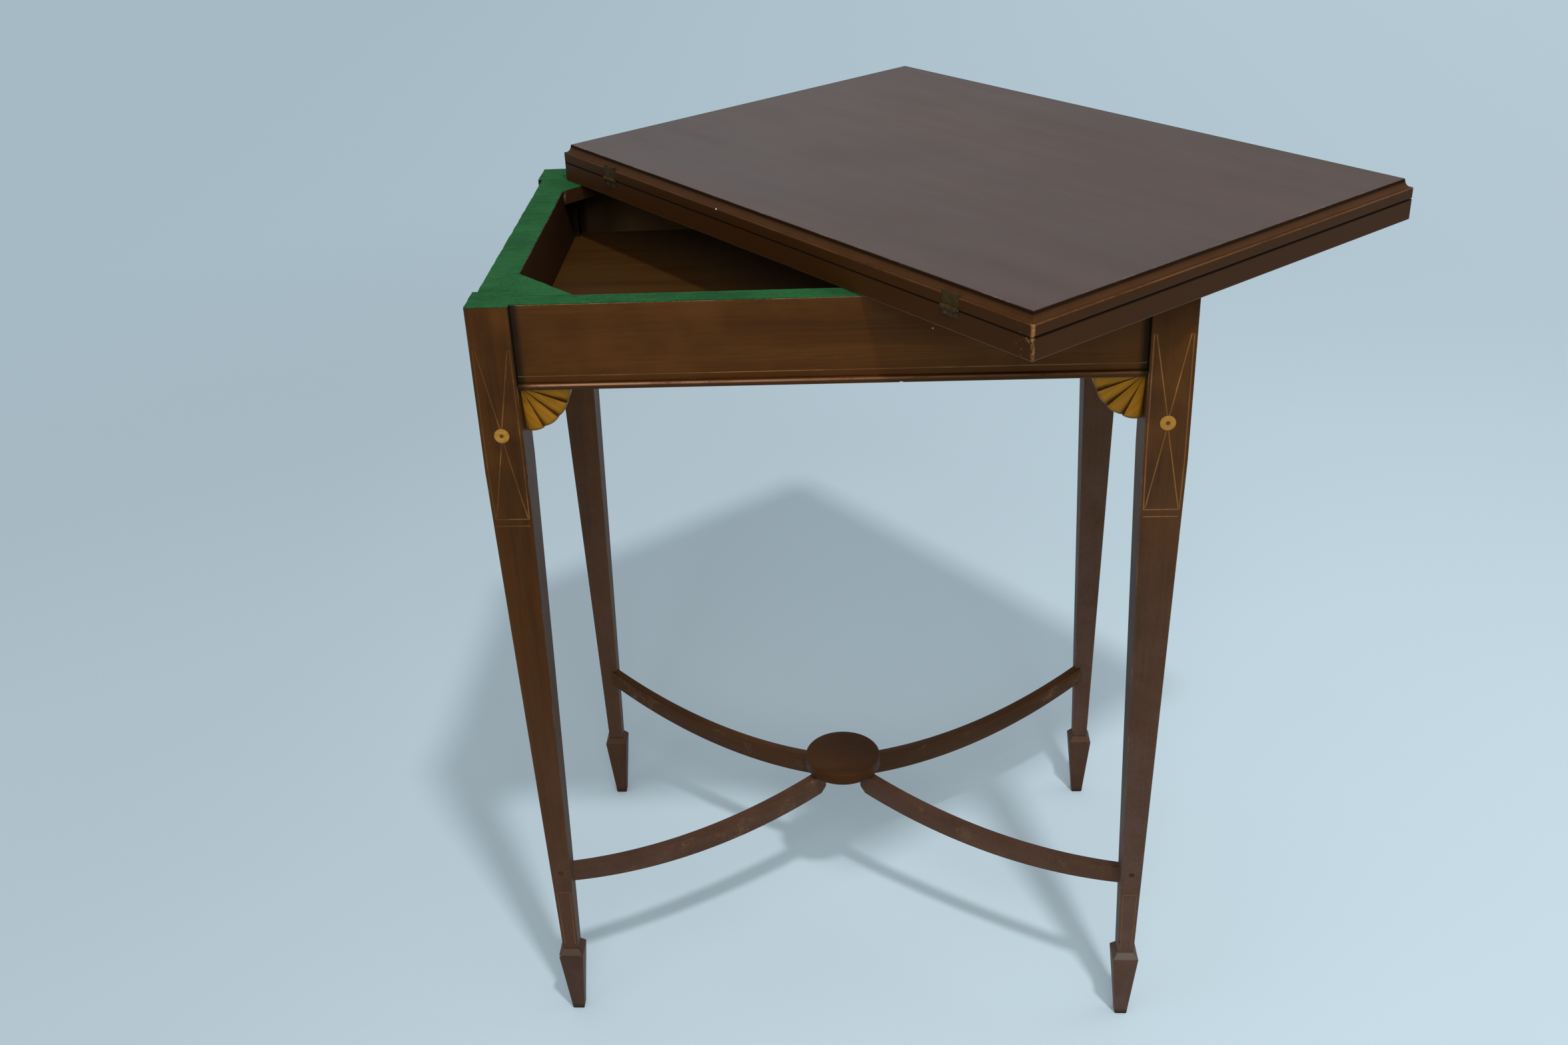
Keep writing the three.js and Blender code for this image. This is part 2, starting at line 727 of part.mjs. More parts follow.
function lowerLeaf() {
  const top = lowerLeafBottom + leafThickness;
  const sections = easedRise(leafEase, leafEase, 3).map(({ inset, height }) => (
    leafSection(inset, lowerLeafBottom + height)));
  sections.push(
    leafSection(0, lowerLeafBottom + leafEase),
    leafSection(0, top - leafEase / 2),
    leafSection(leafEase / 2, top),
  );
  const slab = within(sectionedBox(sections), roundedPlan());
  const headRoom = [lowerLeafBottom - past, lowerLeafBottom + boltHeadThickness + gap];
  const tools = [
    uprightCylinder(0, 0, boltHeadRadius + gap, headRoom),
    baizeField([top - baizeRecess, top + past], gap),
    ...hingeBeds(-1),
    ...hingeScrewHoles(),
  ];
  return named('lower_leaf', cut(slab, tools), topMahogany);
}

// The moulded leaf: a rounded nose, square below on the hinge edge, then a cove and the flat field.
function upperLeaf() {
  const lipHeight = upperLeafBottom + coveFoot;
  const coveTop = upperLeafTop - leafEase;
  const coveDepth = fieldInset - coveLip - coveTopRound;
  const sections = easedRise(noseDraw, noseRise, 4).map(({ inset, height }) => (
    leafSection(inset, upperLeafBottom + height, Math.max(0, leafEase / 2 - height))));
  sections.push(leafSection(0, upperLeafBottom + noseRise), leafSection(0, lipHeight - coveLipRise));
  easedRise(coveLip, coveLipRise, 3).reverse().forEach(({ inset, height }) => {
    sections.push(leafSection(inset, lipHeight - height));
  });
  const steps = 6;
  for (let i = 1; i <= steps; i += 1) {
    const angle = (i / steps) * (Math.PI / 2);
    const inset = coveLip + coveDepth * Math.sin(angle);
    sections.push(leafSection(inset, coveTop - (coveTop - lipHeight) * Math.cos(angle)));
  }
  sections.push(leafSection(fieldInset, upperLeafTop));
  const tools = [
    baizeField([upperLeafBottom - past, upperLeafBottom + baizeRecess], gap),
    ...hingeBeds(1),
  ];
  const slab = within(sectionedBox(sections), roundedPlan());
  return named('upper_leaf', cut(slab, tools), topMahogany);
}

function playingBaize(side) {
  const face = side > 0 ? upperLeafBottom : lowerLeafBottom + leafThickness;
  const near = face + side * (baizeRecess - baizeThickness) / 2;
  const far = near + side * baizeThickness;
  const z = [Math.min(near, far), Math.max(near, far)];
  return named(side > 0 ? 'upper_playing_baize' : 'lower_playing_baize', baizeField(z, 0), baize);
}

// The three knuckles of a hinge: the outer two on the lower plate, the middle one on the upper.
function knuckles(x, side) {
  const pitch = (hingeWidth + gap) / 3;
  return [0, 1, 2].filter((i) => (i === 1) === (side > 0)).map((i) => {
    const from = x - hingeWidth / 2 + i * pitch;
    return [from, from + pitch - gap];
  });
}

function hingePlate(place, side) {
  const reach = side > 0 ? hingeUpperReach : hingeLowerReach;
  const near = seam + side * hingeSeamRoom;
  const far = seam + side * reach;
  const z = [Math.min(near, far), Math.max(near, far)];
  const x = [place.x - hingeWidth / 2, place.x + hingeWidth / 2];
  const y = [hingeEdge, hingeEdge + hingePlateThickness];
  const room = knuckles(place.x, -side).map(([a, b]) => (
    seamCylinder([a - gap, b + gap], foldAxisY, seam, knuckleRadius + gap)));
  const relief = [...room];
  if (side > 0) {
    relief.push(levelCylinder(place.x, [y[0] - past, y[1] + past], far, hingeNotchRadius, 24));
  } else {
    hingeScrewPlaces().forEach((screw) => relief.push(
      levelCylinder(screw.x, [y[0] - past, y[1] + past], hingeScrewLevel, hingeScrewRadius + gap, 16)));
  }
  const own = knuckles(place.x, side).map((along) => seamCylinder(along, foldAxisY, seam, knuckleRadius));
  const holeRadius = hingePinRadius + hingePinPlay;
  const pinHole = seamCylinder([x[0] - past, x[1] + past], foldAxisY, seam, holeRadius, 12);
  const plate = cut(join(cut(block(x, y, z), relief), own), [pinHole]);
  const which = side > 0 ? 'upper' : 'lower';
  return named(`hinge_plate_${which}_${place.name}`, plate, brass);
}

function hingePin(place) {
  const x = [place.x - hingeWidth / 2, place.x + hingeWidth / 2];
  return named(`hinge_pin_${place.name}`, seamCylinder(x, foldAxisY, seam, hingePinRadius, 12), brass);
}

const hingeScrewLevel = seam - hingeScrewDrop;

function hingeScrewPlaces() {
  return hingePlaces.flatMap(({ name, x }) => [
    { name: `${name}_a`, x: x - hingeScrewSpacing / 2 },
    { name: `${name}_b`, x: x + hingeScrewSpacing / 2 },
  ]);
}

function hingeScrew(place) {
  const plateBack = hingeEdge + hingePlateThickness;
  const head = [hingeEdge + hingeScrewSink, plateBack - hingeScrewSink];
  const shank = [plateBack - 2 * hingeScrewSink, hingeEdge + hingeScrewLength];
  const geometry = join(
    levelCylinder(place.x, head, hingeScrewLevel, hingeScrewRadius, 16),
    [levelCylinder(place.x, shank, hingeScrewLevel, hingeShankRadius, 8)],
  );
  return named(`hinge_screw_${place.name}`, geometry, brass);
}

// Frame
const frame = new THREE.Group();
corners.forEach((corner) => {
  frame.add(leg(corner), spadeFoot(corner), plug(corner), cornerBlock(corner));
  frame.add(stretcherArm(corner), discScrew(corner));
});
frontCorners.forEach((corner) => frame.add(roundel(corner), fanBracket(corner)));
frame.add(longApron('front', -1), longApron('back', 1), endApron('left', -1), endApron('right', 1));
frame.add(
  beadStrip('front', new THREE.Vector3(0, -1, 0)),
  beadStrip('back', new THREE.Vector3(0, 1, 0)),
  beadStrip('left', new THREE.Vector3(-1, 0, 0)),
  beadStrip('right', new THREE.Vector3(1, 0, 0)),
);
frame.add(wellFloor(), rimBaize(), stretcherDisc(), pivotRail(), bearingPlate());

// The upper leaf turns about the seam, and the whole top about the pivot.
const folding = new THREE.Group();
folding.position.set(0, -foldAxisY, -seam);
folding.add(upperLeaf(), playingBaize(1));
hingePlaces.forEach((place) => folding.add(hingePlate(place, 1)));

const fold = new THREE.Group();
fold.position.set(0, foldAxisY, seam);
fold.rotation.x = THREE.MathUtils.degToRad(foldAngle);
fold.add(folding);

const swivel = new THREE.Group();
swivel.position.set(pivot.x, pivot.y, 0);
swivel.rotation.z = THREE.MathUtils.degToRad(swivelAngle);
swivel.add(lowerLeaf(), playingBaize(-1), swivelPlate(), swivelBolt(), swivelWasher(), swivelNut());
swivel.add(stopPin(), fold);
hingePlaces.forEach((place) => swivel.add(hingePlate(place, -1), hingePin(place)));
hingeScrewPlaces().forEach((place) => swivel.add(hingeScrew(place)));

// The table's plan, over the frame and the turned leaf, is centred on the origin.
const leafPlan = new THREE.Box2();
[-1, 1].forEach((a) => [-1, 1].forEach((b) => {
  const corner = new THREE.Vector2(leafCentre.x + a * leafLength / 2, leafCentre.y + b * leafWidth / 2);
  corner.rotateAround(new THREE.Vector2(), THREE.MathUtils.degToRad(swivelAngle));
  leafPlan.expandByPoint(corner.add(pivot));
}));
leafPlan.expandByPoint(new THREE.Vector2(-halfLength, -halfDepth));
leafPlan.expandByPoint(new THREE.Vector2(halfLength, halfDepth));
const planCentre = leafPlan.getCenter(new THREE.Vector2());

const standing = new THREE.Group();
standing.position.set(-planCentre.x, -planCentre.y, 0);
standing.add(frame, swivel);

const table = new THREE.Group();
table.add(standing);

export default table;
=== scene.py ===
import json
import math

import bmesh
import bpy
from mathutils import Matrix, Vector, geometry, noise


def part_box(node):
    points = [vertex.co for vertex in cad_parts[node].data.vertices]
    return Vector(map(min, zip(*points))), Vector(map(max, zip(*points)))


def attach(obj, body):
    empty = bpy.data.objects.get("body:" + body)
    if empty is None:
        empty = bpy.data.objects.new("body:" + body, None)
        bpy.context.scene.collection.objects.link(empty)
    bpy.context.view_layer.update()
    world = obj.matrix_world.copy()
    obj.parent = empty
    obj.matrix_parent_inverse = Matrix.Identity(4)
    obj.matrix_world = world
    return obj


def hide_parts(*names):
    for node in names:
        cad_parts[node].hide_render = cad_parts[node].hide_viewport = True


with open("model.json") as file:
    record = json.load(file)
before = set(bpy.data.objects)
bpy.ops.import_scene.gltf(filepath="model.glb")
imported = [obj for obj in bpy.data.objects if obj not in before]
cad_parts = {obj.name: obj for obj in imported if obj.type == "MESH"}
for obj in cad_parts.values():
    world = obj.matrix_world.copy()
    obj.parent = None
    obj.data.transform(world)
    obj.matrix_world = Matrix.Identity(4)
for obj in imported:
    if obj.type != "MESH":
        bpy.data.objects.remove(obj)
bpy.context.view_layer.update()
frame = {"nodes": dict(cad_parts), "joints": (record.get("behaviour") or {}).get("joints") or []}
print("frame loaded")

mm = 0.001
up = Vector((0, 0, 1))
right = Vector((1, 0, 0))
away = Vector((0, 1, 0))


# places that the rest is worked out from

corners = {
    "front_left": Vector((-1, -1, 0)), "front_right": Vector((1, -1, 0)),
    "back_left": Vector((-1, 1, 0)), "back_right": Vector((1, 1, 0)),
}
frontSides = {"front_left": -1, "front_right": 1}
sides = {"front": -away, "back": away, "left": -right, "right": right}
legBoxes = {name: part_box("leg_" + name) for name in corners}
frameLow = Vector(min(low[i] for low, high in legBoxes.values()) for i in range(3))
frameHigh = Vector(max(high[i] for low, high in legBoxes.values()) for i in range(3))
frameCentre = (frameLow + frameHigh) / 2
frameFloor = Vector((frameCentre.x, frameCentre.y, 0))
halfLength = (frameHigh.x - frameLow.x) / 2
halfDepth = (frameHigh.y - frameLow.y) / 2
frameTop = frameHigh.z
legSide = legBoxes["front_left"][1].x - legBoxes["front_left"][0].x
aprons = {side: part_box("apron_" + side) for side in sides}
wellX = aprons["right"][0].x - frameCentre.x
wellY = aprons["back"][0].y - frameCentre.y
joints = {joint["name"]: joint for joint in frame["joints"]}
seam = Vector(joints["leaf_fold"]["pos_m"])
alongSeam = Vector(joints["leaf_fold"]["axis"]).normalized()  # along the hinge edge, back to front
acrossLeaf = up.cross(alongSeam)  # from the hinge edge to the opening edge
leafLow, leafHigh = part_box("upper_leaf")
leafCentre = (leafLow + leafHigh) / 2


# shader trees

class Wire:
    # one output in a shader tree; sums on it add Math nodes
    def __init__(self, shader, socket):
        self.shader = shader
        self.socket = socket

    def calc(self, operation, *others):
        return self.shader.maths(operation, self, *others)

    def __add__(self, other):
        return self.calc("ADD", other)

    __radd__ = __add__

    def __sub__(self, other):
        return self.calc("SUBTRACT", other)

    def __rsub__(self, other):
        return self.shader.maths("SUBTRACT", other, self)

    def __mul__(self, other):
        return self.calc("MULTIPLY", other)

    __rmul__ = __mul__

    def __truediv__(self, other):
        return self.calc("DIVIDE", other)

    def __pow__(self, other):
        return self.calc("POWER", other)

    def __abs__(self):
        return self.calc("ABSOLUTE")

    def __gt__(self, other):
        return self.calc("GREATER_THAN", other)

    def __lt__(self, other):
        return self.calc("LESS_THAN", other)

    def least(self, other):
        return self.calc("MINIMUM", other)

    def most(self, other):
        return self.calc("MAXIMUM", other)

    def rise(self, low, high, start=0.0, end=1.0):
        # start at low, end at high, smooth between, whichever of low and high is the greater
        return self.shader.node("ShaderNodeMapRange", {"interpolation_type": "SMOOTHSTEP"}, {
            "Value": self, "From Min": low, "From Max": high, "To Min": start, "To Max": end})

    def band(self, low, full, fullEnd, high):
        # 1 from full to fullEnd, fading to 0 at low and high
        return self.rise(low, full) * self.rise(high, fullEnd)

    def along(self, direction):
        return self.shader.node("ShaderNodeVectorMath", {"operation": "DOT_PRODUCT"},
                                {0: self, 1: tuple(direction)}, "Value")

    def shifted(self, offset):
        return self.shader.node("ShaderNodeVectorMath", {"operation": "SUBTRACT"},
                                {0: self, 1: tuple(offset)})

    def distance(self, place):
        return self.shader.node("ShaderNodeVectorMath", {"operation": "DISTANCE"},
                                {0: self, 1: tuple(place)}, "Value")


class Shader:
    # the tree of a material or of the world
    def __init__(self, owner, coordinates="Object"):
        self.owner = owner
        owner.use_nodes = True
        self.tree = owner.node_tree
        self.tree.nodes.clear()
        self.place = self.node("ShaderNodeTexCoord", {}, {}, coordinates)

    def node(self, kind, settings, inputs, output=0):
        made = self.tree.nodes.new(kind)
        for key, value in settings.items():
            setattr(made, key, value)
        for key, value in inputs.items():
            if isinstance(value, Wire):
                self.tree.links.new(value.socket, made.inputs[key])
            elif made.inputs[key].type == "RGBA":
                made.inputs[key].default_value = (*value, 1)
            else:
                made.inputs[key].default_value = value
        return Wire(self, made.outputs[output]) if made.outputs else made

    def maths(self, operation, *values):
        return self.node("ShaderNodeMath", {"operation": operation}, dict(enumerate(values)))

    def vector(self, x, y, z):
        return self.node("ShaderNodeCombineXYZ", {}, {0: x, 1: y, 2: z})

    def noise(self, vector, scale, detail=2.0, roughness=0.5):
        return self.node("ShaderNodeTexNoise", {}, {
            "Vector": vector, "Scale": scale, "Detail": detail, "Roughness": roughness})

    def mix(self, factor, first, second):
        return self.node("ShaderNodeMix", {"data_type": "RGBA"}, {0: factor, 6: first, 7: second}, 2)

    def bump(self, height, distance, strength=1.0):
        return self.node("ShaderNodeBump", {}, {
            "Height": height, "Distance": distance, "Strength": strength})

    def finish(self, **inputs):
        sockets = {key.replace("_", " "): value for key, value in inputs.items()}
        surface = self.node("ShaderNodeBsdfPrincipled", {}, sockets)
        self.node("ShaderNodeOutputMaterial", {}, {"Surface": surface})
        return self.owner


def newShader(name):
    return Shader(bpy.data.materials.new(name))


# woods; the pairs are scales per metre, along the grain and across it

mahoganyLook = dict(
    dark=(0.031, 0.0098, 0.0022), mid=(0.053, 0.0170, 0.0031), light=(0.079, 0.0275, 0.0052),
    roughness=0.54, smudge=0.09, specular=0.24, tint=(1.0, 0.60, 0.32),
    wander=(1.6, 5.0), wanderBy=0.014, ribbon=(0.9, 8.0), streak=(2.4, 52.0), fine=(14.0, 420.0),
    pores=(60.0, 1500.0), poreDepth=0.05 * mm,
)
topLook = dict(
    mahoganyLook,
    dark=(0.043, 0.0150, 0.0068), mid=(0.056, 0.0200, 0.0092), light=(0.071, 0.0265, 0.0120),
    roughness=0.44, smudge=0.05, specular=0.12, tint=(1.0, 0.5, 0.25), coat=0.62, coatRoughness=0.34,
    ribbon=(0.9, 5.0), streak=(2.4, 34.0),
)
bareLook = dict(
    mahoganyLook,
    dark=(0.034, 0.0130, 0.0028), mid=(0.053, 0.0215, 0.0044), light=(0.077, 0.0330, 0.0068),
    roughness=0.66, smudge=0.12, specular=0.2, ribbon=(0.9, 7.0), streak=(2.4, 46.0), poreDepth=0.1 * mm,
)
# a dark colour for real dirt, and also for painted shade in recesses: the well's corner, the apron ends, the
# step beside the leaf's field
grimeAndShade = (0.0075, 0.0045, 0.0028)


def grainOf(shader, grain, side, seed):
    # metres along the grain and the two ways across it
    face = Vector(grain).cross(Vector(side)).normalized()
    place = shader.place.shifted((seed * 0.37, seed * 0.11, -seed * 0.23))
    return place.along(grain), place.along(side), place.along(face)


def grainNoise(shader, ways, scales, detail=2.0, roughness=0.5):
    # noise drawn out along the grain
    run, cross, depth = ways
    along, over = scales
    return shader.noise(shader.vector(run * along, cross * over, depth * over), 1.0, detail, roughness)


def woodColor(shader, look, grain, side, seed):
    # brown with broad ribbons, streaks and short dark pores
    run, cross, depth = grainOf(shader, grain, side, seed)
    cross = cross + (grainNoise(shader, (run, cross, depth), look["wander"]) - 0.5) * look["wanderBy"]
    ways = run, cross, depth
    ribbon = grainNoise(shader, ways, look["ribbon"], 3.0, 0.55) - 0.5
    streak = grainNoise(shader, ways, look["streak"], 4.0, 0.6) - 0.5
    fine = grainNoise(shader, ways, look["fine"], 3.0, 0.6) - 0.5
    pores = grainNoise(shader, ways, look["pores"]).rise(0.60, 0.72)
    tone = ribbon * 0.9 + streak * 0.8 + fine * 0.55 + 0.5
    color = shader.mix(tone.rise(0.22, 0.56), look["dark"], look["mid"])
    color = shader.mix(tone.rise(0.52, 0.86), color, look["light"])
    return shader.mix(pores * 0.4, color, look["dark"]), tone, pores


def coat(color, mask, *values, rough=0.1, sink=0.0):
    # something over the wood: its colour, a mask and the values it takes, added roughness, depth in pores
    return dict(color=color, mask=mask, values=values, rough=rough, sink=sink)


def wood(name, look, grain, side, seed, coats=(), polish=None):
    # polish is a mask for the glossy finish over all the coats
    shader = newShader(name)
    color, tone, pores = woodColor(shader, look, grain, side, seed)
    smudge = shader.noise(shader.place.shifted((seed, 0, 0)), 7.0, 4.0, 0.6) - 0.5
    rough = look["roughness"] + smudge * 2 * look["smudge"] + pores * 0.06
    height = pores * -1.0 + tone * 0.3
    for layer in coats:
        mask = layer["mask"](shader, *layer["values"])
        color = shader.mix(mask, color, layer["color"])
        rough = rough + mask * layer["rough"]
        if layer["sink"]:
            height = height - mask * layer["sink"]
    sockets = dict(Base_Color=color, Roughness=rough, Normal=shader.bump(height, look["poreDepth"], 0.6),
                   Specular_IOR_Level=look["specular"], Specular_Tint=look["tint"])
    if polish:
        sockets.update(Coat_Weight=polish(shader) * look["coat"], Coat_Roughness=look["coatRoughness"])
    return shader.finish(**sockets)


# masks for the coats

def patches(shader, coarse, fine=400.0):
    # uneven from about 0.3 to 0.8, to break up a mask
    return shader.noise(shader.place, coarse, 4.0, 0.65) * 0.8 + shader.noise(shader.place, fine) * 0.3


def allOver(shader, amount):
    return amount


def byHeight(shader, start, full, amount=1.0, uneven=0.0):
    # grows from one height to another, up or down
    mask = shader.place.along(up).rise(start, full, 0, amount)
    if uneven:
        mask = mask * patches(shader, 26.0, 300.0).rise(0.35, 0.75, 1 - uneven, 1)
    return mask


def spot(shader, place, edge, full):
    # a round mark, with the radius of its edge and the radius inside which it is full
    return shader.place.distance(place).rise(edge, full)


def boxArris(shader, low, high, reach, amount):
    # the edges of an upright box, rubbed here and there
    place = shader.place.shifted((low + high) / 2)
    a, b, c = (half - abs(place.along(axis)) for half, axis in zip((high - low) / 2, (right, away, up)))
    second = a.least(b).most(a.most(b).least(c))
    return second.rise(reach, reach * 0.15) * patches(shader, 60.0).rise(0.56, 0.76, 0, amount)


# mesh helpers

def addPiece(name, mesh, body, material, replaced=()):
    piece = bpy.data.objects.new(name, mesh)
    bpy.context.scene.collection.objects.link(piece)
    mesh.materials.clear()
    mesh.materials.append(material)
    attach(piece, body)
    if replaced:
        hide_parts(*replaced)
    return piece


def meshOf(name, bm, smoothAngle=35.0):
    bmesh.ops.recalc_face_normals(bm, faces=bm.faces)
    mesh = bpy.data.meshes.new(name)
    bm.to_mesh(mesh)
    bm.free()
    mesh.shade_smooth()
    mesh.set_sharp_from_angle(angle=math.radians(smoothAngle))
    return mesh


def loft(rings, bm=None):
    # a closed skin over rings of equal numbers of points, flat at both ends
    bm = bm or bmesh.new()
    grid = [[bm.verts.new(p) for p in ring] for ring in rings]
    count = len(grid[0])
    for first, second in zip(grid, grid[1:]):
        for i in range(count):
            j = (i + 1) % count
            bm.faces.new((first[i], first[j], second[j], second[i]))
    bm.faces.new(list(reversed(grid[0])))
    bm.faces.new(grid[-1])
    return bm


def turned(profile, centre, axis, side, steps=48):
    # rings round an axis from pairs of radius and height along it
    other = axis.cross(side)
    turns = [2 * math.pi * i / steps for i in range(steps)]
    return [[tuple(centre + axis * h + side * r * math.cos(a) + other * r * math.sin(a)) for a in turns]
            for r, h in profile]


def softEdges(node, width, material, segments=3):
    # eases the arrises of a carried-over piece without touching its mesh
    piece = frame["nodes"][node]
    weld = piece.modifiers.new("weld", "WELD")
    weld.merge_threshold = 0.01 * mm
    flat = piece.modifiers.new("flat", "DECIMATE")
    flat.decimate_type = "DISSOLVE"
    flat.angle_limit = math.radians(0.5)
    ease = piece.modifiers.new("ease", "BEVEL")
    ease.width = width
    ease.segments = segments
    ease.limit_method = "ANGLE"
    ease.angle_limit = math.radians(30)
    ease.miter_outer = "MITER_ARC"
    shade = piece.modifiers.new("shade", "WEIGHTED_NORMAL")
    shade.weight = 80
    dress(node, material)


def dress(node, material):
    # gives a carried-over piece its material
    mesh = frame["nodes"][node].data
    mesh.materials.clear()
    mesh.materials.append(material)


# legs and feet

leg = dict(
    taperTop=566 * mm, footTop=75 * mm, outerTaper=10 * mm, innerTaper=9 * mm, ease=0.5 * mm,
    worn=(0.20, 0.115, 0.062), wornReach=1.0 * mm, wornFull=0.15 * mm, wornAmount=0.55,
    glow=(0.098, 0.034, 0.0048), glowFrom=420 * mm, glowFull=600 * mm, glowAmount=0.6,
    # the dust colour is dust together with a painted sheen of the pale floor on the lower leg and foot
    dustAndPaintedLight=(0.118, 0.077, 0.066), dustTop=430 * mm, dustFull=60 * mm, dustUneven=0.5,
    # the shade heights place a painted shadow of the table top on the top of the leg; the inside colour is
    # painted shade on its faces into the well
    shadeFrom=640 * mm, shadeFull=700 * mm, inside=(0.010, 0.0052, 0.0028), insideFrom=636 * mm,
)
legHole = dict(inset=1.3 * mm, height=86.8 * mm, radii=(1.08 * mm, 0.54 * mm))
foot = dict(
    ease=0.8 * mm, soilTop=8 * mm, soilFull=0.5 * mm, wornReach=1.2 * mm, shoulder=69 * mm,
    ledge=(0.112, 0.096, 0.080), chip=(0.55, 0.42, 0.30), chipRadii=(1.56 * mm, 0.78 * mm),
)
wear = dict(  # how high the dust and painted floor sheen reach, how thick they are on leg and foot and the dust on the ledge, how dark the painted shadow of the table top makes the leg's top
    front_left=dict(reach=1.0, leg=0.30, foot=0.30, ledge=0.28, shade=0.0),
    front_right=dict(reach=1.7, leg=0.58, foot=0.58, ledge=0.85, shade=0.75),
    back_left=dict(reach=2.2, leg=0.36, foot=0.216, ledge=0.2, shade=0.0),
    back_right=dict(reach=2.2, leg=0.56, foot=0.336, ledge=0.2, shade=0.5),
)


def legTaper(z):
    # 0 in the square part of a leg, 1 at its foot
    return min(1.0, max(0.0, (leg["taperTop"] - z) / (leg["taperTop"] - leg["footTop"])))


def legFace(z):
    # where the front face of a front leg stands, along Y
    return frameCentre.y - halfDepth + legTaper(z) * leg["outerTaper"]


def legSpan(side, z):
    # the outer and inner edges of a front leg's front face, along X
    outer = halfLength - legTaper(z) * leg["outerTaper"]
    inner = halfLength - legSide + legTaper(z) * leg["innerTaper"]
    return frameCentre.x + side * outer, frameCentre.x + side * inner


def legArris(shader, corner):
    # the four long edges of a leg, which draw in towards the foot
    half = legSide / 2
    shift = (leg["outerTaper"] - leg["innerTaper"]) / 2
    middle = Vector((corner.x * (halfLength - half), corner.y * (halfDepth - half), 0))
    place = shader.place.shifted(frameFloor + middle)
    taper = 1 - (place.along(up) - leg["footTop"]) / (leg["taperTop"] - leg["footTop"])
    taper = taper.most(0.0).least(1.0)
    reach = half - taper * (leg["outerTaper"] + leg["innerTaper"]) / 2
    a = reach - abs(place.along(right) + taper * shift * corner.x)
    b = reach - abs(place.along(away) + taper * shift * corner.y)
    rubbed = patches(shader, 30.0, 380.0).rise(0.50, 0.78, 0, leg["wornAmount"])
    return a.most(b).rise(leg["wornReach"], leg["wornFull"]) * rubbed


def legGlow(shader):
    # amber clouds where the polish is thick
    clouds = shader.noise(shader.place, 17.0, 3.0, 0.55).rise(0.42, 0.72)
    return clouds * byHeight(shader, leg["glowFrom"], leg["glowFull"], leg["glowAmount"])


def legInsideShade(shader, corner):
    # painted shade on the two faces of a leg that look into the well, as dark as the aprons there
    place = shader.place.shifted(frameFloor)
    reachX, reachY = halfLength - legSide, halfDepth - legSide
    endFace = (place.along(right) * corner.x).rise(reachX + 0.8 * mm, reachX + 0.3 * mm)
    longFace = (place.along(away) * corner.y).rise(reachY + 0.8 * mm, reachY + 0.3 * mm)
    return endFace.most(longFace) * byHeight(shader, leg["insideFrom"], leg["insideFrom"] + 2 * mm)


def ledgeDust(shader, middle, amount):
    # dust on the front slope of a foot's shoulder
    low, high = foot["shoulder"], leg["footTop"]
    place = shader.place.shifted(middle)
    front = (place.along(-away) - abs(place.along(right))).rise(-0.2 * mm, 0.3 * mm)
    slope = shader.place.along(up).band(low - 0.1 * mm, low + 0.8 * mm, high - 1.2 * mm, high - 0.3 * mm)
    return front * slope * patches(shader, 90.0).rise(0.2, 0.6, 0.75 * amount, amount)


for seed, (name, corner) in enumerate(corners.items()):
    worn = wear[name]
    dustTop = leg["dustTop"] * worn["reach"]
    # dust and a painted sheen of the pale floor lighten the lower leg
    coats = [
        coat(leg["glow"], legGlow, rough=0.0),
        coat(leg["dustAndPaintedLight"], byHeight, dustTop, leg["dustFull"], worn["leg"], leg["dustUneven"], rough=0.05),
        # painted shadow of the table top across the top of the leg
        coat(mahoganyLook["dark"], byHeight, leg["shadeFrom"], leg["shadeFull"], worn["shade"], 0.3),
        coat(leg["worn"], legArris, corner),
        coat(leg["inside"], legInsideShade, corner, rough=0.2)]
    if name == "front_right":
        z = legHole["height"]
        hole = (legSpan(1, z)[1] + legHole["inset"], legFace(z), z)
        coats.append(coat(grimeAndShade, spot, hole, *legHole["radii"], rough=0.2))
    material = wood("mahogany leg " + name, mahoganyLook, up, right, 1.3 + seed, coats)
    softEdges("leg_" + name, leg["ease"], material)

    low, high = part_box("spade_foot_" + name)
    # dust and a painted sheen of the pale floor on the foot, as on the leg
    coats = [
        coat(leg["dustAndPaintedLight"], byHeight, dustTop, 0, worn["foot"], leg["dustUneven"], rough=0.05),
        coat(leg["worn"], boxArris, low, high, foot["wornReach"], 0.8),
        coat(foot["ledge"], ledgeDust, (low + high) / 2, worn["ledge"], rough=0.2)]
    if name == "front_left":
        chip = (low.x, low.y, foot["shoulder"])
        coats.append(coat(foot["chip"], spot, chip, *foot["chipRadii"], rough=0.3))
    coats.append(coat(grimeAndShade, byHeight, foot["soilTop"], foot["soilFull"], 0.8, 0.4, rough=0.2))
    material = wood("mahogany foot " + name, mahoganyLook, up, right, 4.1 + seed, coats)
    softEdges("spade_foot_" + name, foot["ease"], material)
    dress("screw_plug_" + name, wood("mahogany plug " + name, mahoganyLook, right, up, 3.3 + seed))
print("legs and feet finished")


# aprons and beads

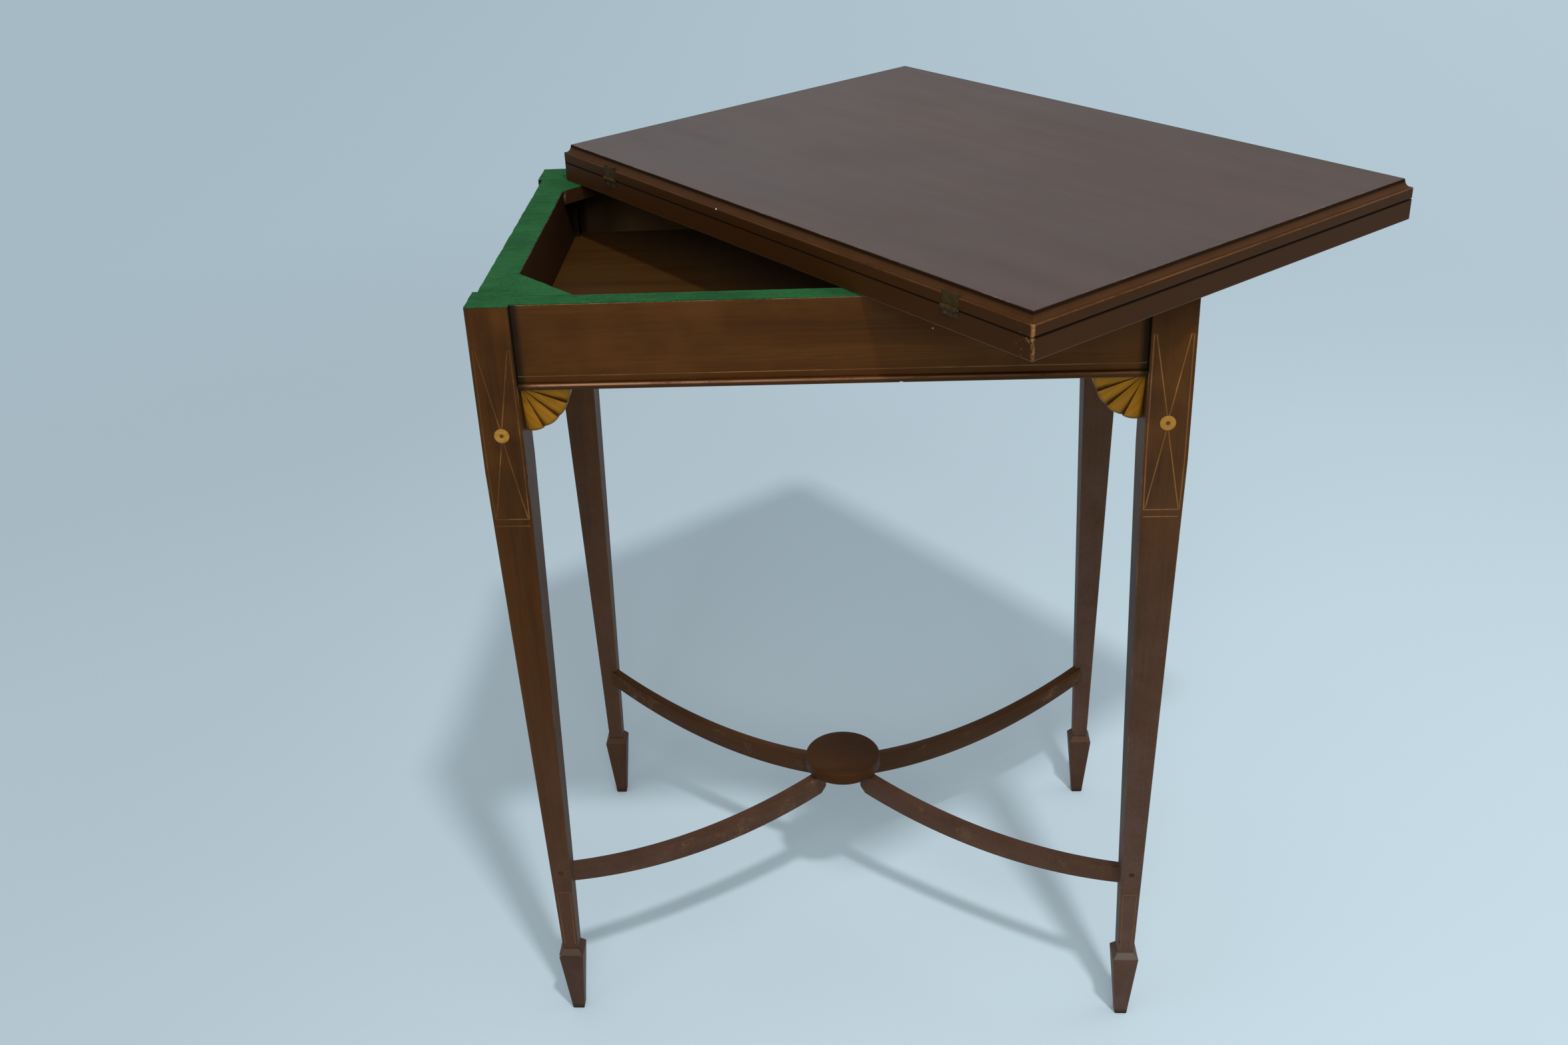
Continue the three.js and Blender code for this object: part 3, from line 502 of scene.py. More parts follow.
apron = dict(
    ease=0.35 * mm, wornReach=0.7 * mm, grimeReach=8 * mm, grimeFull=2 * mm, line=(0.27, 0.165, 0.10),
    # the two inner colours are painted: shade on the aprons' faces towards the well, and fill light on the
    # back apron's inner face
    lineReach=0.7 * mm, glow=(0.092, 0.0315, 0.0060), inside=(0.022, 0.0085, 0.0032),
    insideBackPaintedLight=(0.130, 0.078, 0.034), insideFrom=-6.5 * mm, insideFull=-8 * mm,
    cornerReach=60 * mm, cornerFull=28 * mm, cornerDepth=40 * mm,
    fleckRight=77 * mm, fleckHeight=674 * mm, fleckRadii=(0.75 * mm, 0.35 * mm),
)
bead = dict(
    # the worn colour is wear with a painted highlight on the bead's nose; below the dark heights the bead
    # gets painted shade
    low=632.7 * mm, high=637.7 * mm, nose=1.4 * mm, ease=0.15 * mm, worn=(0.34, 0.185, 0.112),
    crest=(3.1 * mm, 3.7 * mm, 4.4 * mm, 4.9 * mm), wornFrom=120 * mm, wornFull=-200 * mm,
    darkFrom=2.9 * mm, darkFull=2.2 * mm,
    raw=(0.52, 0.36, 0.24), chipAt=54 * mm, chipHalf=1.6 * mm, chipDeep=1.1 * mm,
)


def endGrimeAndShade(shader, direction, centre, half):
    # dirt and painted shade in the step at both ends of an apron, beside the legs
    off = abs(shader.place.shifted(centre).along(direction))
    near = off.rise(half - apron["grimeReach"], half - apron["grimeFull"])
    return near * patches(shader, 22.0).rise(0.2, 0.6, 0.65, 0.95)


def topLine(shader, top):
    # the rubbed upper edge of an apron, under the cloth
    near = byHeight(shader, top - apron["lineReach"], top - 0.1 * mm)
    return near * patches(shader, 18.0, 500.0).rise(0.42, 0.66, 0, 0.8)


def apronGlow(shader):
    # warmer clouds in the polish
    return shader.noise(shader.place, 14.0, 3.0, 0.55).rise(0.45, 0.72, 0, 0.55)


def paintedInside(shader, outward, centre):
    # the face towards the well, oiled but never polished, darkened as painted shade; on the back apron it is
    # lightened instead, as painted fill light
    off = shader.place.shifted(centre).along(outward)
    return off.rise(apron["insideFrom"], apron["insideFull"], 0, 0.85)


def wellCornerShade(shader, outward, centre):
    # painted shade in the well's corner at the back left
    corner = (frameCentre.x - wellX, frameCentre.y + wellY, frameTop - apron["cornerDepth"])
    near = shader.place.distance(corner).rise(apron["cornerReach"], apron["cornerFull"], 0, 0.9)
    return paintedInside(shader, outward, centre) * near


def beadWearAndHighlight(shader, grain, middle):
    # wear and a painted highlight: the nose of the bead is pale along its upper half, most towards the left
    # or the front
    crest = (shader.place.along(up) - bead["low"]).band(*bead["crest"])
    left = shader.place.shifted(middle).along(grain).rise(bead["wornFrom"], bead["wornFull"], 0.22, 0.87)
    return crest * left * patches(shader, 24.0, 600.0).rise(0.36, 0.62)


def chipMask(shader):
    # bare wood where the bead is broken
    low = bead["low"]
    off = abs(shader.place.along(right) - (frameCentre.x + bead["chipAt"]))
    return off.rise(1.5 * mm, 0.7 * mm) * byHeight(shader, low + 1.5 * mm, low + 0.6 * mm)


def beadSection(inner, outer, chip):
    # square inside, a half-round nose outside, its lower edge broken away by chip
    low, high, nose, ease = bead["low"], bead["high"], bead["nose"], bead["ease"]
    middle, half = (low + high) / 2, (high - low) / 2
    points = [(inner, low + ease), (inner + ease, low), (outer - nose - chip, low)]
    for i in range(1, 12):
        angle = math.pi * (i / 12 - 0.5)
        bite = chip * max(0.0, 1 - i / 5)
        out, rise = nose * math.cos(angle), half * math.sin(angle)
        points.append((outer - nose + out - bite, middle + rise + bite * 0.5))
    return points + [(outer - nose, high), (inner + ease, high), (inner, high - ease)]


for seed, (side, outward) in enumerate(sides.items()):
    low, high = aprons[side]
    middle = (low + high) / 2
    grain = right if side in ("front", "back") else away
    coats = [
        coat(apron["glow"], apronGlow, rough=0.0),
        coat(apron["insideBackPaintedLight" if side == "back" else "inside"], paintedInside, outward, middle, rough=0.2)]
    if side == "front":
        fleck = (frameCentre.x + apron["fleckRight"], low.y, apron["fleckHeight"])
        coats.append(coat(bead["raw"], spot, fleck, *apron["fleckRadii"]))
    if side in ("back", "left"):
        coats.append(coat(grimeAndShade, wellCornerShade, outward, middle, rough=0.2))
    coats += [
        coat(leg["worn"], boxArris, low, high, apron["wornReach"], 0.5),
        coat(apron["line"], topLine, high.z),
        coat(grimeAndShade, endGrimeAndShade, grain, middle, (high - low).dot(grain) / 2, rough=0.2)]
    material = wood("mahogany apron " + side, mahoganyLook, grain, up, 11.9 + seed * 1.7, coats)
    softEdges("apron_" + side, apron["ease"], material)

    low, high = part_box("apron_bead_" + side)
    middle = (low + high) / 2
    half = (high - low).dot(grain) / 2
    reach = (high - low).dot(Vector(abs(c) for c in outward)) / 2
    along = outward.cross(up)
    stations = [-half, 0, half]
    chipPlace = along.x * bead["chipAt"]
    if side == "front":
        stations += [chipPlace + bead["chipHalf"] * s for s in (-1, -0.6, -0.25, 0.2, 0.5, 1)]
    rings = []
    for s in sorted(stations):
        chip = 0.0
        if side == "front":
            chip = bead["chipDeep"] * max(0.0, 1 - abs(s - chipPlace) / bead["chipHalf"])
        base = Vector((middle.x, middle.y, 0)) + along * s
        rings.append([tuple(base + outward * a + up * b) for a, b in beadSection(-reach, reach, chip)])
    # painted shade on the lower half of the bead
    darkFrom, darkFull = bead["low"] + bead["darkFrom"], bead["low"] + bead["darkFull"]
    coats = [
        coat(mahoganyLook["dark"], byHeight, darkFrom, darkFull, 0.5),
        coat(bead["worn"], beadWearAndHighlight, grain, middle, rough=0.05),
        coat(grimeAndShade, endGrimeAndShade, grain, middle, half, rough=0.2)]
    if side == "front":
        coats.append(coat(bead["raw"], chipMask, rough=0.3))
    material = wood("mahogany bead " + side, mahoganyLook, grain, up, 21.3 + seed, coats)
    mesh = meshOf("bead strip", loft(rings), 40)
    addPiece("bead_strip_" + side, mesh, "frame", material, ("apron_bead_" + side,))
print("aprons finished")


# well

well = dict(
    ease=0.4 * mm, rubbed=(0.34, 0.22, 0.13), rubbedReach=3.0 * mm, block=(0.022, 0.0088, 0.0034),
    # the well's dust colour is painted fill light on its floor
    blockAmount=0.75, dustAndPaintedLight=(0.125, 0.070, 0.034), dustWay=(0.77, 0.64, 0), dustFrom=-95 * mm,
    dustFull=10 * mm,
)


def wellPaintedLight(shader):
    # painted fill light: paler towards the back and the right, where the top covers the well and shade falls
    over = shader.place.shifted(frameCentre).along(well["dustWay"])
    return over.rise(well["dustFrom"], well["dustFull"]) * patches(shader, 14.0).rise(0.2, 0.7, 0.5, 0.9)


material = wood("bare mahogany floor", bareLook, right, away, 31.0, [coat(well["dustAndPaintedLight"], wellPaintedLight)])
softEdges("well_floor", well["ease"], material, 2)
softEdges("pivot_rail", well["ease"], wood("bare mahogany rail", bareLook, away, right, 33.0), 2)
for seed, name in enumerate(corners):
    low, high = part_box("corner_block_" + name)
    coats = [
        coat(well["block"], allOver, well["blockAmount"]),
        coat(well["rubbed"], boxArris, low, high, well["rubbedReach"], 0.8)]
    material = wood("bare mahogany block " + name, bareLook, right, away, 8.7 + seed, coats)
    softEdges("corner_block_" + name, well["ease"], material, 2)


# boxwood and satinwood

paleGrain = dict(streak=(9.0, 260.0), fine=(60.0, 1300.0), depth=0.02 * mm, specular=0.35)


def paleWood(name, look, grain, side, seed, shade, *values):
    # shade takes the shader, the colour of the plain wood and these values
    shader = newShader(name)
    ways = grainOf(shader, grain, side, seed)
    streak = grainNoise(shader, ways, paleGrain["streak"], 4.0, 0.6)
    fine = grainNoise(shader, ways, paleGrain["fine"])
    color = shader.mix((streak * 0.7 + fine * 0.3).rise(0.3, 0.72), look["dark"], look["light"])
    return shader.finish(Base_Color=shade(shader, color, *values),
                         Roughness=look["roughness"] + (fine - 0.5) * 0.15,
                         Normal=shader.bump(fine, paleGrain["depth"], 0.4),
                         Specular_IOR_Level=paleGrain["specular"], Specular_Tint=look["tint"])


stringing = dict(
    width=0.9 * mm, proud=0.04 * mm, sunk=0.25 * mm, light=(0.26, 0.112, 0.025), dark=(0.14, 0.055, 0.012),
    roughness=0.42, tint=(1.0, 0.7, 0.4), outerReach=26 * mm, low=(0.098, 0.045, 0.026), lowFrom=230 * mm,
    lowFull=130 * mm, covered=dict(front_left=(0.25, 1.05), front_right=(0.0, 0.35), apron=(0.2, 0.85)),
)
legInlay = dict(
    top=666.7 * mm, crossing=596.2 * mm, foot=525 * mm, edge=2.4 * mm, start=0.8 * mm, spread=12.3 * mm,
    lines=(523.7 * mm, 517.6 * mm), low=141 * mm, end=80 * mm, roundel=6.2 * mm,
)
apronLine = dict(z=643.2 * mm, width=0.8 * mm, clear=0.4 * mm)


def stringShade(shader, color, name):
    # darkened to the brown of the leg where the polish has covered it, most at the far left
    farLeft = frameCentre.x - halfLength
    covered = shader.noise(shader.place, 34.0, 3.0, 0.6).rise(0.66, 0.42, *stringing["covered"][name])
    outer = shader.place.along(right).rise(farLeft + stringing["outerReach"], farLeft, 0, 0.8)
    low = byHeight(shader, stringing["lowFrom"], stringing["lowFull"], 0.8)
    return shader.mix(low, shader.mix(covered.most(outer), color, mahoganyLook["light"]), stringing["low"])


def stringWood(name, grain, side):
    return paleWood("boxwood stringing " + name, stringing, grain, side, 0.0, stringShade, name)


def ribbon(bm, start, end, level=False, steps=12):
    # a thin strip let into a leg's front face between two places, given as x and z
    half = stringing["width"] / 2
    dx, dz = (0, half) if level else (half, 0)
    rings = []
    for i in range(steps + 1):
        x, z = (a + (b - a) * i / steps for a, b in zip(start, end))
        front, back = legFace(z) - stringing["proud"], legFace(z) + stringing["sunk"]
        section = ((-1, front), (1, front), (1, back), (-1, back))
        rings.append([(x + dx * a, y, z + dz * a) for a, y in section])
    loft(rings, bm)


for name, side in frontSides.items():
    bm = bmesh.new()
    middle = frameCentre.x + side * (halfLength - legSide / 2)
    crossing, edge = legInlay["crossing"], side * legInlay["edge"]
    for tilt in (-1, 1):
        for end in (legInlay["top"], legInlay["foot"]):
            clear = math.copysign(legInlay["roundel"], end - crossing)
            start = (middle + tilt * legInlay["start"], crossing + clear)
            ribbon(bm, start, (middle + tilt * legInlay["spread"], end))
    for i, inset in enumerate((-edge, edge)):
        for high, low in ((legInlay["top"], leg["taperTop"]), (leg["taperTop"], legInlay["lines"][0]),
                          (legInlay["low"], legInlay["end"])):
            ribbon(bm, (legSpan(side, high)[i] + inset, high), (legSpan(side, low)[i] + inset, low))
    for z in (*legInlay["lines"], legInlay["low"]):
        outer, inner = legSpan(side, z)
        ribbon(bm, (outer - edge, z), (inner + edge, z), True)
    mesh = meshOf("leg stringing", bm)
    addPiece("leg_stringing_" + name, mesh, "frame", stringWood(name, up, right))

ends = aprons["front"][0].x + apronLine["clear"], aprons["front"][1].x - apronLine["clear"]
front, back = aprons["front"][0].y - stringing["proud"], aprons["front"][0].y + stringing["sunk"]
low, high = (apronLine["z"] + sign * apronLine["width"] / 2 for sign in (-1, 1))
section = ((front, low), (front, high), (back, high), (back, low))
mesh = meshOf("apron stringing", loft([[(x, y, z) for y, z in section] for x in ends]))
addPiece("apron_stringing_front", mesh, "frame", stringWood("apron", right, up))
print("stringing laid")


# roundels

roundel = dict(
    radius=6 * mm, depth=1.2 * mm, dot=1.5 * mm, rimWidth=1.1 * mm, rim=(0.24, 0.105, 0.020),
    heart=(0.075, 0.030, 0.008), light=(0.42, 0.205, 0.030), dark=(0.31, 0.140, 0.019), roughness=0.45,
    tint=(1.0, 0.8, 0.4), dull=dict(front_left=0.75, front_right=0.25),
)


def roundelShade(shader, color, centre, dull):
    # a dark heart, browner towards the rim, and dull patches
    radius, dot = roundel["radius"], roundel["dot"]
    off = shader.place.distance(centre)
    color = shader.mix(off.rise(radius - roundel["rimWidth"], radius, 0, 0.6), color, roundel["rim"])
    patch = shader.noise(shader.place, 320.0, 3.0).rise(0.4, 0.7, 0, dull)
    halo = off.rise(dot + 0.9 * mm, dot, 0, 0.35)
    heart = off.rise(dot + 0.3 * mm, dot - 0.2 * mm)
    return shader.mix(halo.most(heart), shader.mix(patch, color, roundel["rim"]), roundel["heart"])


for name, side in frontSides.items():
    low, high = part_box("roundel_" + name)
    centre = Vector(((low.x + high.x) / 2, low.y, (low.z + high.z) / 2))
    r, dot = roundel["radius"], roundel["dot"]
    profile = [(r, -roundel["depth"]), (r, -0.25 * mm), (r - 0.15 * mm, -0.08 * mm), (r - 0.5 * mm, 0),
               (0.6 * r, 0.03 * mm), (1.6 * dot, 0.04 * mm), (dot, 0), (0.7 * dot, -0.25 * mm)]
    material = paleWood("boxwood roundel " + name, roundel, right, up, side,
                        roundelShade, centre, roundel["dull"][name])
    mesh = meshOf("roundel", loft(turned(profile, centre, -away, right)))
    addPiece("roundel_disc_" + name, mesh, "frame", material, ("roundel_" + name,))


# fan brackets

fan = dict(
    radius=37.7 * mm, scallop=0.7 * mm, depth=2.4 * mm, roll=1.2 * mm, rollFrom=0.93,
    edges=(0, 22, 44, 67, 90),  # degrees from level
    shares=(0.012, 0.12, 0.25, 0.4, 0.55, 0.7, 0.82, 0.90, 0.94, 0.965, 0.985, 1.0),  # of the radius
    wedge=0.46, light=(0.36, 0.150, 0.0085), dark=(0.235, 0.093, 0.005), scorch=(0.040, 0.015, 0.004),
    rim=(0.12, 0.056, 0.016), roughness=0.5, tint=(1.0, 0.7, 0.2),
)


def fanShade(shader, color, centre, side):
    # hot-sand shading in a wedge along the lower edge of each flute, widest at the rim
    place = shader.place.shifted(centre)
    over, below = place.along(right) * -side, place.along(-up)
    angle = shader.maths("ARCTAN2", below, over) * (180 / math.pi)
    out = (over * over + below * below) ** 0.5 / fan["radius"]
    broken = shader.noise(shader.place, 240.0, 3.0, 0.6) * 0.6 + 0.62
    dark = 0.0
    for low, high in zip(fan["edges"], fan["edges"][1:]):
        inside = (angle > low) * (angle < high)
        dark += ((angle - low) / (high - low)).rise(1 - out * fan["wedge"], 0.99) ** 1.2 * inside
    color = shader.mix((dark * broken).least(0.9), color, fan["scorch"])
    return shader.mix(out.rise(0.92, 0.975, 0, 0.5), color, fan["rim"])


def fluteRing(t, front, back):
    # the outline across a flute as radius and y; t runs from 0 to 1 over the flute
    edge = fan["radius"] - fan["scallop"] * (1 - math.sin(math.pi * min(1, max(0, t * 0.9 + 0.05))))
    ring = []
    for share in fan["shares"]:
        roll = max(0.0, (share - fan["rollFrom"]) / (1 - fan["rollFrom"])) ** 2 * fan["roll"]
        ring.append((edge * share, front + fan["depth"] * share * t ** 1.25 + roll))
    return ring + [(edge, back - 0.5 * mm), (edge - 0.6 * mm, back), (fan["shares"][0] * edge, back)]


for name, side in frontSides.items():
    low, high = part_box("fan_bracket_" + name)
    centre = Vector((high.x if side > 0 else low.x, 0, high.z))
    rings = []
    for a, b in zip(fan["edges"], fan["edges"][1:]):
        steps = max(4, int((b - a) / 1.5))
        for i in range(steps + 1):
            angle = math.radians(a + (b - a - 0.3) * i / steps)
            x, z = -side * math.cos(angle), -math.sin(angle)
            ring = fluteRing(i / steps, low.y, high.y)
            rings.append([(centre.x + x * r, y, centre.z + z * r) for r, y in ring])
    grain = (-side * 0.75, 0, -0.66)
    material = paleWood("satinwood fan " + name, fan, grain, away, side, fanShade, centre, side)
    mesh = meshOf("fan", loft(rings), 32)
    addPiece("fan_" + name, mesh, "frame", material, ("fan_bracket_" + name,))
print("fans and roundels carved")


# stretcher

stretcher = dict(
    stations=(30, 155, 270), top=(154.2, 140.5, 157), bottom=(133, 121, 140), thickness=9 * mm,
    toward=(241, 153), inner=22 * mm, outer=288 * mm, chamfer=5.5 * mm, ease=0.8 * mm,
    steps=(0, 0.5, 2, 3.5, 5.5, 8, 12, *range(16, 257, 6)), wornFrom=3.6 * mm, wornFull=4.4 * mm,
    dustAndPaintedLight=(0.125, 0.068, 0.052), dustFrom=400 * mm, dustFull=60 * mm, dustFront=0.50, dustBack=0.05,
)
boss = dict(
    radius=36 * mm, shoulder=35.3 * mm, ease=1.3 * mm, hole=10 * mm, rings=(28 * mm, 14 * mm, 3 * mm),
    dull=0.35,
)


def arcHeight(heights, s):
    # height of the circle through three stations, all in millimetres
    (ax, bx, cx), (ay, by, cy) = stretcher["stations"], heights
    d = 2 * (ax * (by - cy) + bx * (cy - ay) + cx * (ay - by))
    aa, bb, cc = ax * ax + ay * ay, bx * bx + by * by, cx * cx + cy * cy
    x = (aa * (by - cy) + bb * (cy - ay) + cc * (ay - by)) / d
    y = (aa * (cx - bx) + bb * (ax - cx) + cc * (bx - ax)) / d
    return y - math.sqrt((ax - x) ** 2 + (ay - y) ** 2 - (s - x) ** 2)


def armSection(s, half):
    # rounded rectangle across an arm at a distance from the middle of the table
    cut = max(0.0, stretcher["chamfer"] - (s - stretcher["inner"]))
    low = arcHeight(stretcher["bottom"], s / mm) * mm + cut
    high = arcHeight(stretcher["top"], s / mm) * mm
    ease = stretcher["ease"]
    points = []
    for cx, cz, start in ((half - ease, high - ease, 0), (ease - half, high - ease, 90),
                          (ease - half, low + ease, 180), (half - ease, low + ease, 270)):
        for step in range(4):
            angle = math.radians(start + 30 * step)
            points.append((cx + ease * math.cos(angle), cz + ease * math.sin(angle)))
    return points


def armWear(shader, sideways):
    # the two upper edges of an arm
    off = abs(shader.place.shifted(frameFloor).along(sideways))
    rubbed = patches(shader, 34.0).rise(0.58, 0.80, 0, 0.5)
    return off.rise(stretcher["wornFrom"], stretcher["wornFull"]) * rubbed


stations = [stretcher["inner"] + step * mm for step in stretcher["steps"]] + [stretcher["outer"] - 1 * mm]
for seed, (name, corner) in enumerate(corners.items()):
    x, y = stretcher["toward"]
    outward = Vector((corner.x * x, corner.y * y, 0)).normalized()
    sideways = up.cross(outward)
    rings = []
    for s in stations:
        half = stretcher["thickness"] / 2 - (0.4 * mm if s == stations[0] else 0)
        base = frameFloor + outward * s
        rings.append([tuple(base + sideways * a + up * b) for a, b in armSection(s, half)])
    # dust and a painted sheen of the pale floor, heavier on the front arms
    dusty = [stretcher[key] for key in ("dustFrom", "dustFull", "dustFront" if corner.y < 0 else "dustBack")]
    coats = [
        coat(stretcher["dustAndPaintedLight"], byHeight, *dusty, 0.4, rough=0.05),
        coat(leg["worn"], armWear, sideways)]
    material = wood("mahogany stretcher " + name, mahoganyLook, outward, up, 41.0 + seed * 1.9, coats)
    mesh = meshOf("stretcher rail", loft(rings), 40)
    addPiece("stretcher_rail_" + name, mesh, "frame", material, ("stretcher_arm_" + name,))

low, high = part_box("stretcher_disc")
middle = Vector(((low.x + high.x) / 2, (low.y + high.y) / 2, 0))
ease = boss["ease"]
profile = [(boss["hole"], low.z), (boss["rings"][0], low.z)]
for radius, z, start in ((boss["radius"], low.z + ease, -90), (boss["shoulder"], high.z - ease, 0)):
    for i in range(5):
        angle = math.radians(start + 22.5 * i)
        profile.append((radius - ease + ease * math.cos(angle), z + ease * math.sin(angle)))
profile += [(r, high.z) for r in boss["rings"]]
mesh = meshOf("stretcher boss", loft(turned(profile, middle, up, right, 96)), 40)
coats = [coat(mahoganyLook["dark"], allOver, boss["dull"], rough=0.05)]
material = wood("mahogany boss", mahoganyLook, right, away, 51.0, coats)
addPiece("stretcher_boss", mesh, "frame", material, ("stretcher_disc",))
print("stretcher bent")


# baize

felt = dict(light=(0.0172, 0.111, 0.0305), dark=(0.0070, 0.052, 0.0150), lint=(0.10, 0.22, 0.13),
            roughness=0.95, sheen=0.10, sheenRoughness=0.4, sheenTint=(0.3, 0.8, 0.45), nap=0.25 * mm,
            backShade=180 * mm)
rim = dict(thickness=1.1 * mm, lift=0.02 * mm, step=2.0 * mm, waver=0.45 * mm, grid=5 * mm, recess=4 * mm,
           block=49.5 * mm, seam=0.45 * mm, round=0.35 * mm)
panel = dict(length=519.5 * mm, hingeBorder=14 * mm, border=30 * mm, width=409 * mm)


def baizeMaterial(name, seed, uneven):
    # felted wool with clumps, fibres and lint, brushed one way, darker towards the back
    shader = newShader(name)
    place = shader.place.shifted((seed, seed * 0.3, 0))
    patch = shader.noise(place, 16.0, 4.0, 0.6) - 0.5
    clump = shader.noise(place, 240.0, 3.0, 0.6)
    fibre = shader.noise(place, 1400.0, 2.0, 0.7)
    strokes = shader.vector(place.along(right) * 30.0, place.along(away) * 220.0, seed)
    brushed = shader.noise(strokes, 1.0, 3.0, 0.6) - 0.5
    tone = patch * uneven + (clump - 0.5) * 0.4 + (fibre - 0.5) * 0.8 + brushed * 0.6 + 0.5
    color = shader.mix(tone.rise(0.15, 0.85), felt["dark"], felt["light"])
    color = shader.mix(shader.noise(place, 700.0, 1.0).rise(0.70, 0.80, 0, 0.3), color, felt["lint"])
    color = shader.mix(place.along(away).rise(0, felt["backShade"], 0, uneven * 0.3), color, felt["dark"])
    return shader.finish(Base_Color=color, Roughness=felt["roughness"], Specular_IOR_Level=0.1,
                         Normal=shader.bump(clump * 0.3 + fibre * 0.6, felt["nap"], 0.9),
                         Sheen_Weight=felt["sheen"], Sheen_Roughness=felt["sheenRoughness"],
                         Sheen_Tint=felt["sheenTint"])


def areaOf(points):
    return abs(sum(ax * by - bx * ay for (ax, ay), (bx, by) in zip(points, points[1:] + points[:1]))) / 2


def sizeOf(points):
    xs, ys = zip(*points)
    return max(xs) - min(xs), max(ys) - min(ys)


def wavering(outline, seed):
    # the outline with a hand-cut edge: points a step apart, drawn in and out by noise, true at the corners
    points = []
    for (ax, ay), (bx, by) in zip(outline, outline[1:] + outline[:1]):
        length = math.hypot(bx - ax, by - ay)
        steps = max(1, round(length / rim["step"]))
        nx, ny = (by - ay) / length, (ax - bx) / length
        for i in range(steps):
            t = i / steps
            x, y = ax + (bx - ax) * t, ay + (by - ay) * t
            pull = noise.noise(Vector((x * 80, y * 80, seed)))
            pull += 0.6 * noise.noise(Vector((x * 310, y * 310, seed + 5)))
            pull *= rim["waver"] * min(1.0, min(t, 1 - t) * length / (3 * mm))
            points.append((x + nx * pull, y + ny * pull))
    return points


def clothPatch(name, outline, seed, thickness, base):
    # a piece of cloth with wavering edges and a soft uneven face
    edge = wavering(outline, seed)
    xs, ys = zip(*edge)
    width, depth = sizeOf(edge)
    inner = []
    for i in range(int(width / rim["grid"]) + 1):
        for j in range(int(depth / rim["grid"]) + 1):
            x, y = min(xs) + (i + 0.5 * (j % 2)) * rim["grid"], min(ys) + j * rim["grid"]
            if min(math.hypot(x - a, y - b) for a, b in edge) > 0.5 * rim["grid"]:
                inner.append((x, y))
    made = geometry.delaunay_2d_cdt([Vector(p) for p in edge + inner], [], [list(range(len(edge)))], 1, 1e-7)
    bm = bmesh.new()
    verts = [bm.verts.new((v.x, v.y, base)) for v in made[0]]
    for face in made[2]:
        bm.faces.new([verts[i] for i in face])
    loose = [v for v in verts if not v.link_faces]
    bmesh.ops.delete(bm, geom=loose, context="VERTS")
    bm.normal_update()
    if sum(face.normal.z for face in bm.faces) > 0:
        bmesh.ops.reverse_faces(bm, faces=bm.faces)
    raised = bmesh.ops.extrude_face_region(bm, geom=bm.faces[:])
    for v in raised["geom"]:
        if isinstance(v, bmesh.types.BMVert):
            v.co.z += thickness * (0.90 + 0.10 * noise.noise(Vector((v.co.x * 90, v.co.y * 90, seed))))
    return meshOf(name, bm, 50)


def addCloth(name, outline, body, seed, thickness, base, uneven, replaced):
    material = baizeMaterial("baize " + name, seed, uneven)
    mesh = clothPatch(name, outline, seed, thickness, base)
    piece = addPiece(name, mesh, body, material, (replaced,))
    over = piece.modifiers.new("over", "BEVEL")
    over.width = rim["round"]
    over.segments = 2
    over.limit_method = "ANGLE"
    over.angle_limit = math.radians(50)
    return piece


def inFrame(points, flipX=1, flipY=1):
    return [(frameCentre.x + x * flipX, frameCentre.y + y * flipY) for x, y in points]


# the long strips cover two leg tops and an apron; the end strips an apron and the blocks in its corners
legX, legY = halfLength - legSide, halfDepth - legSide
outX, outY = halfLength - rim["recess"], halfDepth - rim["recess"]
gapped = rim["seam"]
longHalf = [(legX, outY), (legX, halfDepth), (halfLength, halfDepth), (halfLength, legY + gapped),
            (legX, legY + gapped), (legX, wellY + gapped)]
endHalf = [(wellX, wellY - rim["block"]), (wellX - rim["block"], wellY - gapped), (legX, wellY - gapped),
           (legX, legY - gapped), (outX, legY - gapped)]
longStrip = longHalf + [(-x, y) for x, y in reversed(longHalf)]
endStrip = endHalf + [(x, -y) for x, y in reversed(endHalf)]
strips = {
    "front": (inFrame(longStrip, 1, -1), ["apron_front", "leg_front_left", "leg_front_right"]),
    "back": (inFrame(longStrip), ["apron_back", "leg_back_left", "leg_back_right"]),
    "left": (inFrame(endStrip, -1, 1), ["apron_left", "corner_block_front_left", "corner_block_back_left"]),
    "right": (inFrame(endStrip), ["apron_right", "corner_block_front_right", "corner_block_back_right"]),
}
for seed, (name, (outline, under)) in enumerate(strips.items()):
    piece = addCloth("rim_baize_" + name, outline, "frame", 3.0 + seed, rim["thickness"],
                     frameTop + rim["lift"], 1.1, "rim_baize")
    sizeOf(outline)
    areaOf(outline)

for name, body, seed in (("lower", "swivel_top", 9.0), ("upper", "folding_leaf", 12.0)):
    node = name + "_playing_baize"
    low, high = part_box(node)
    outline = []
    start, end = panel["hingeBorder"] - panel["width"] / 2, panel["width"] / 2 - panel["border"]
    for a, b in ((-1, start), (1, start), (1, end), (-1, end)):
        place = leafCentre + alongSeam * a * panel["length"] / 2 + acrossLeaf * b
        outline.append((place.x, place.y))
    piece = addCloth(node + "_cloth", outline, body, seed, high.z - low.z - 0.1 * mm, low.z + rim["lift"],
                     0.4, node)
    end - start
    name + "_leaf"
print("baize glued down")


# leaves

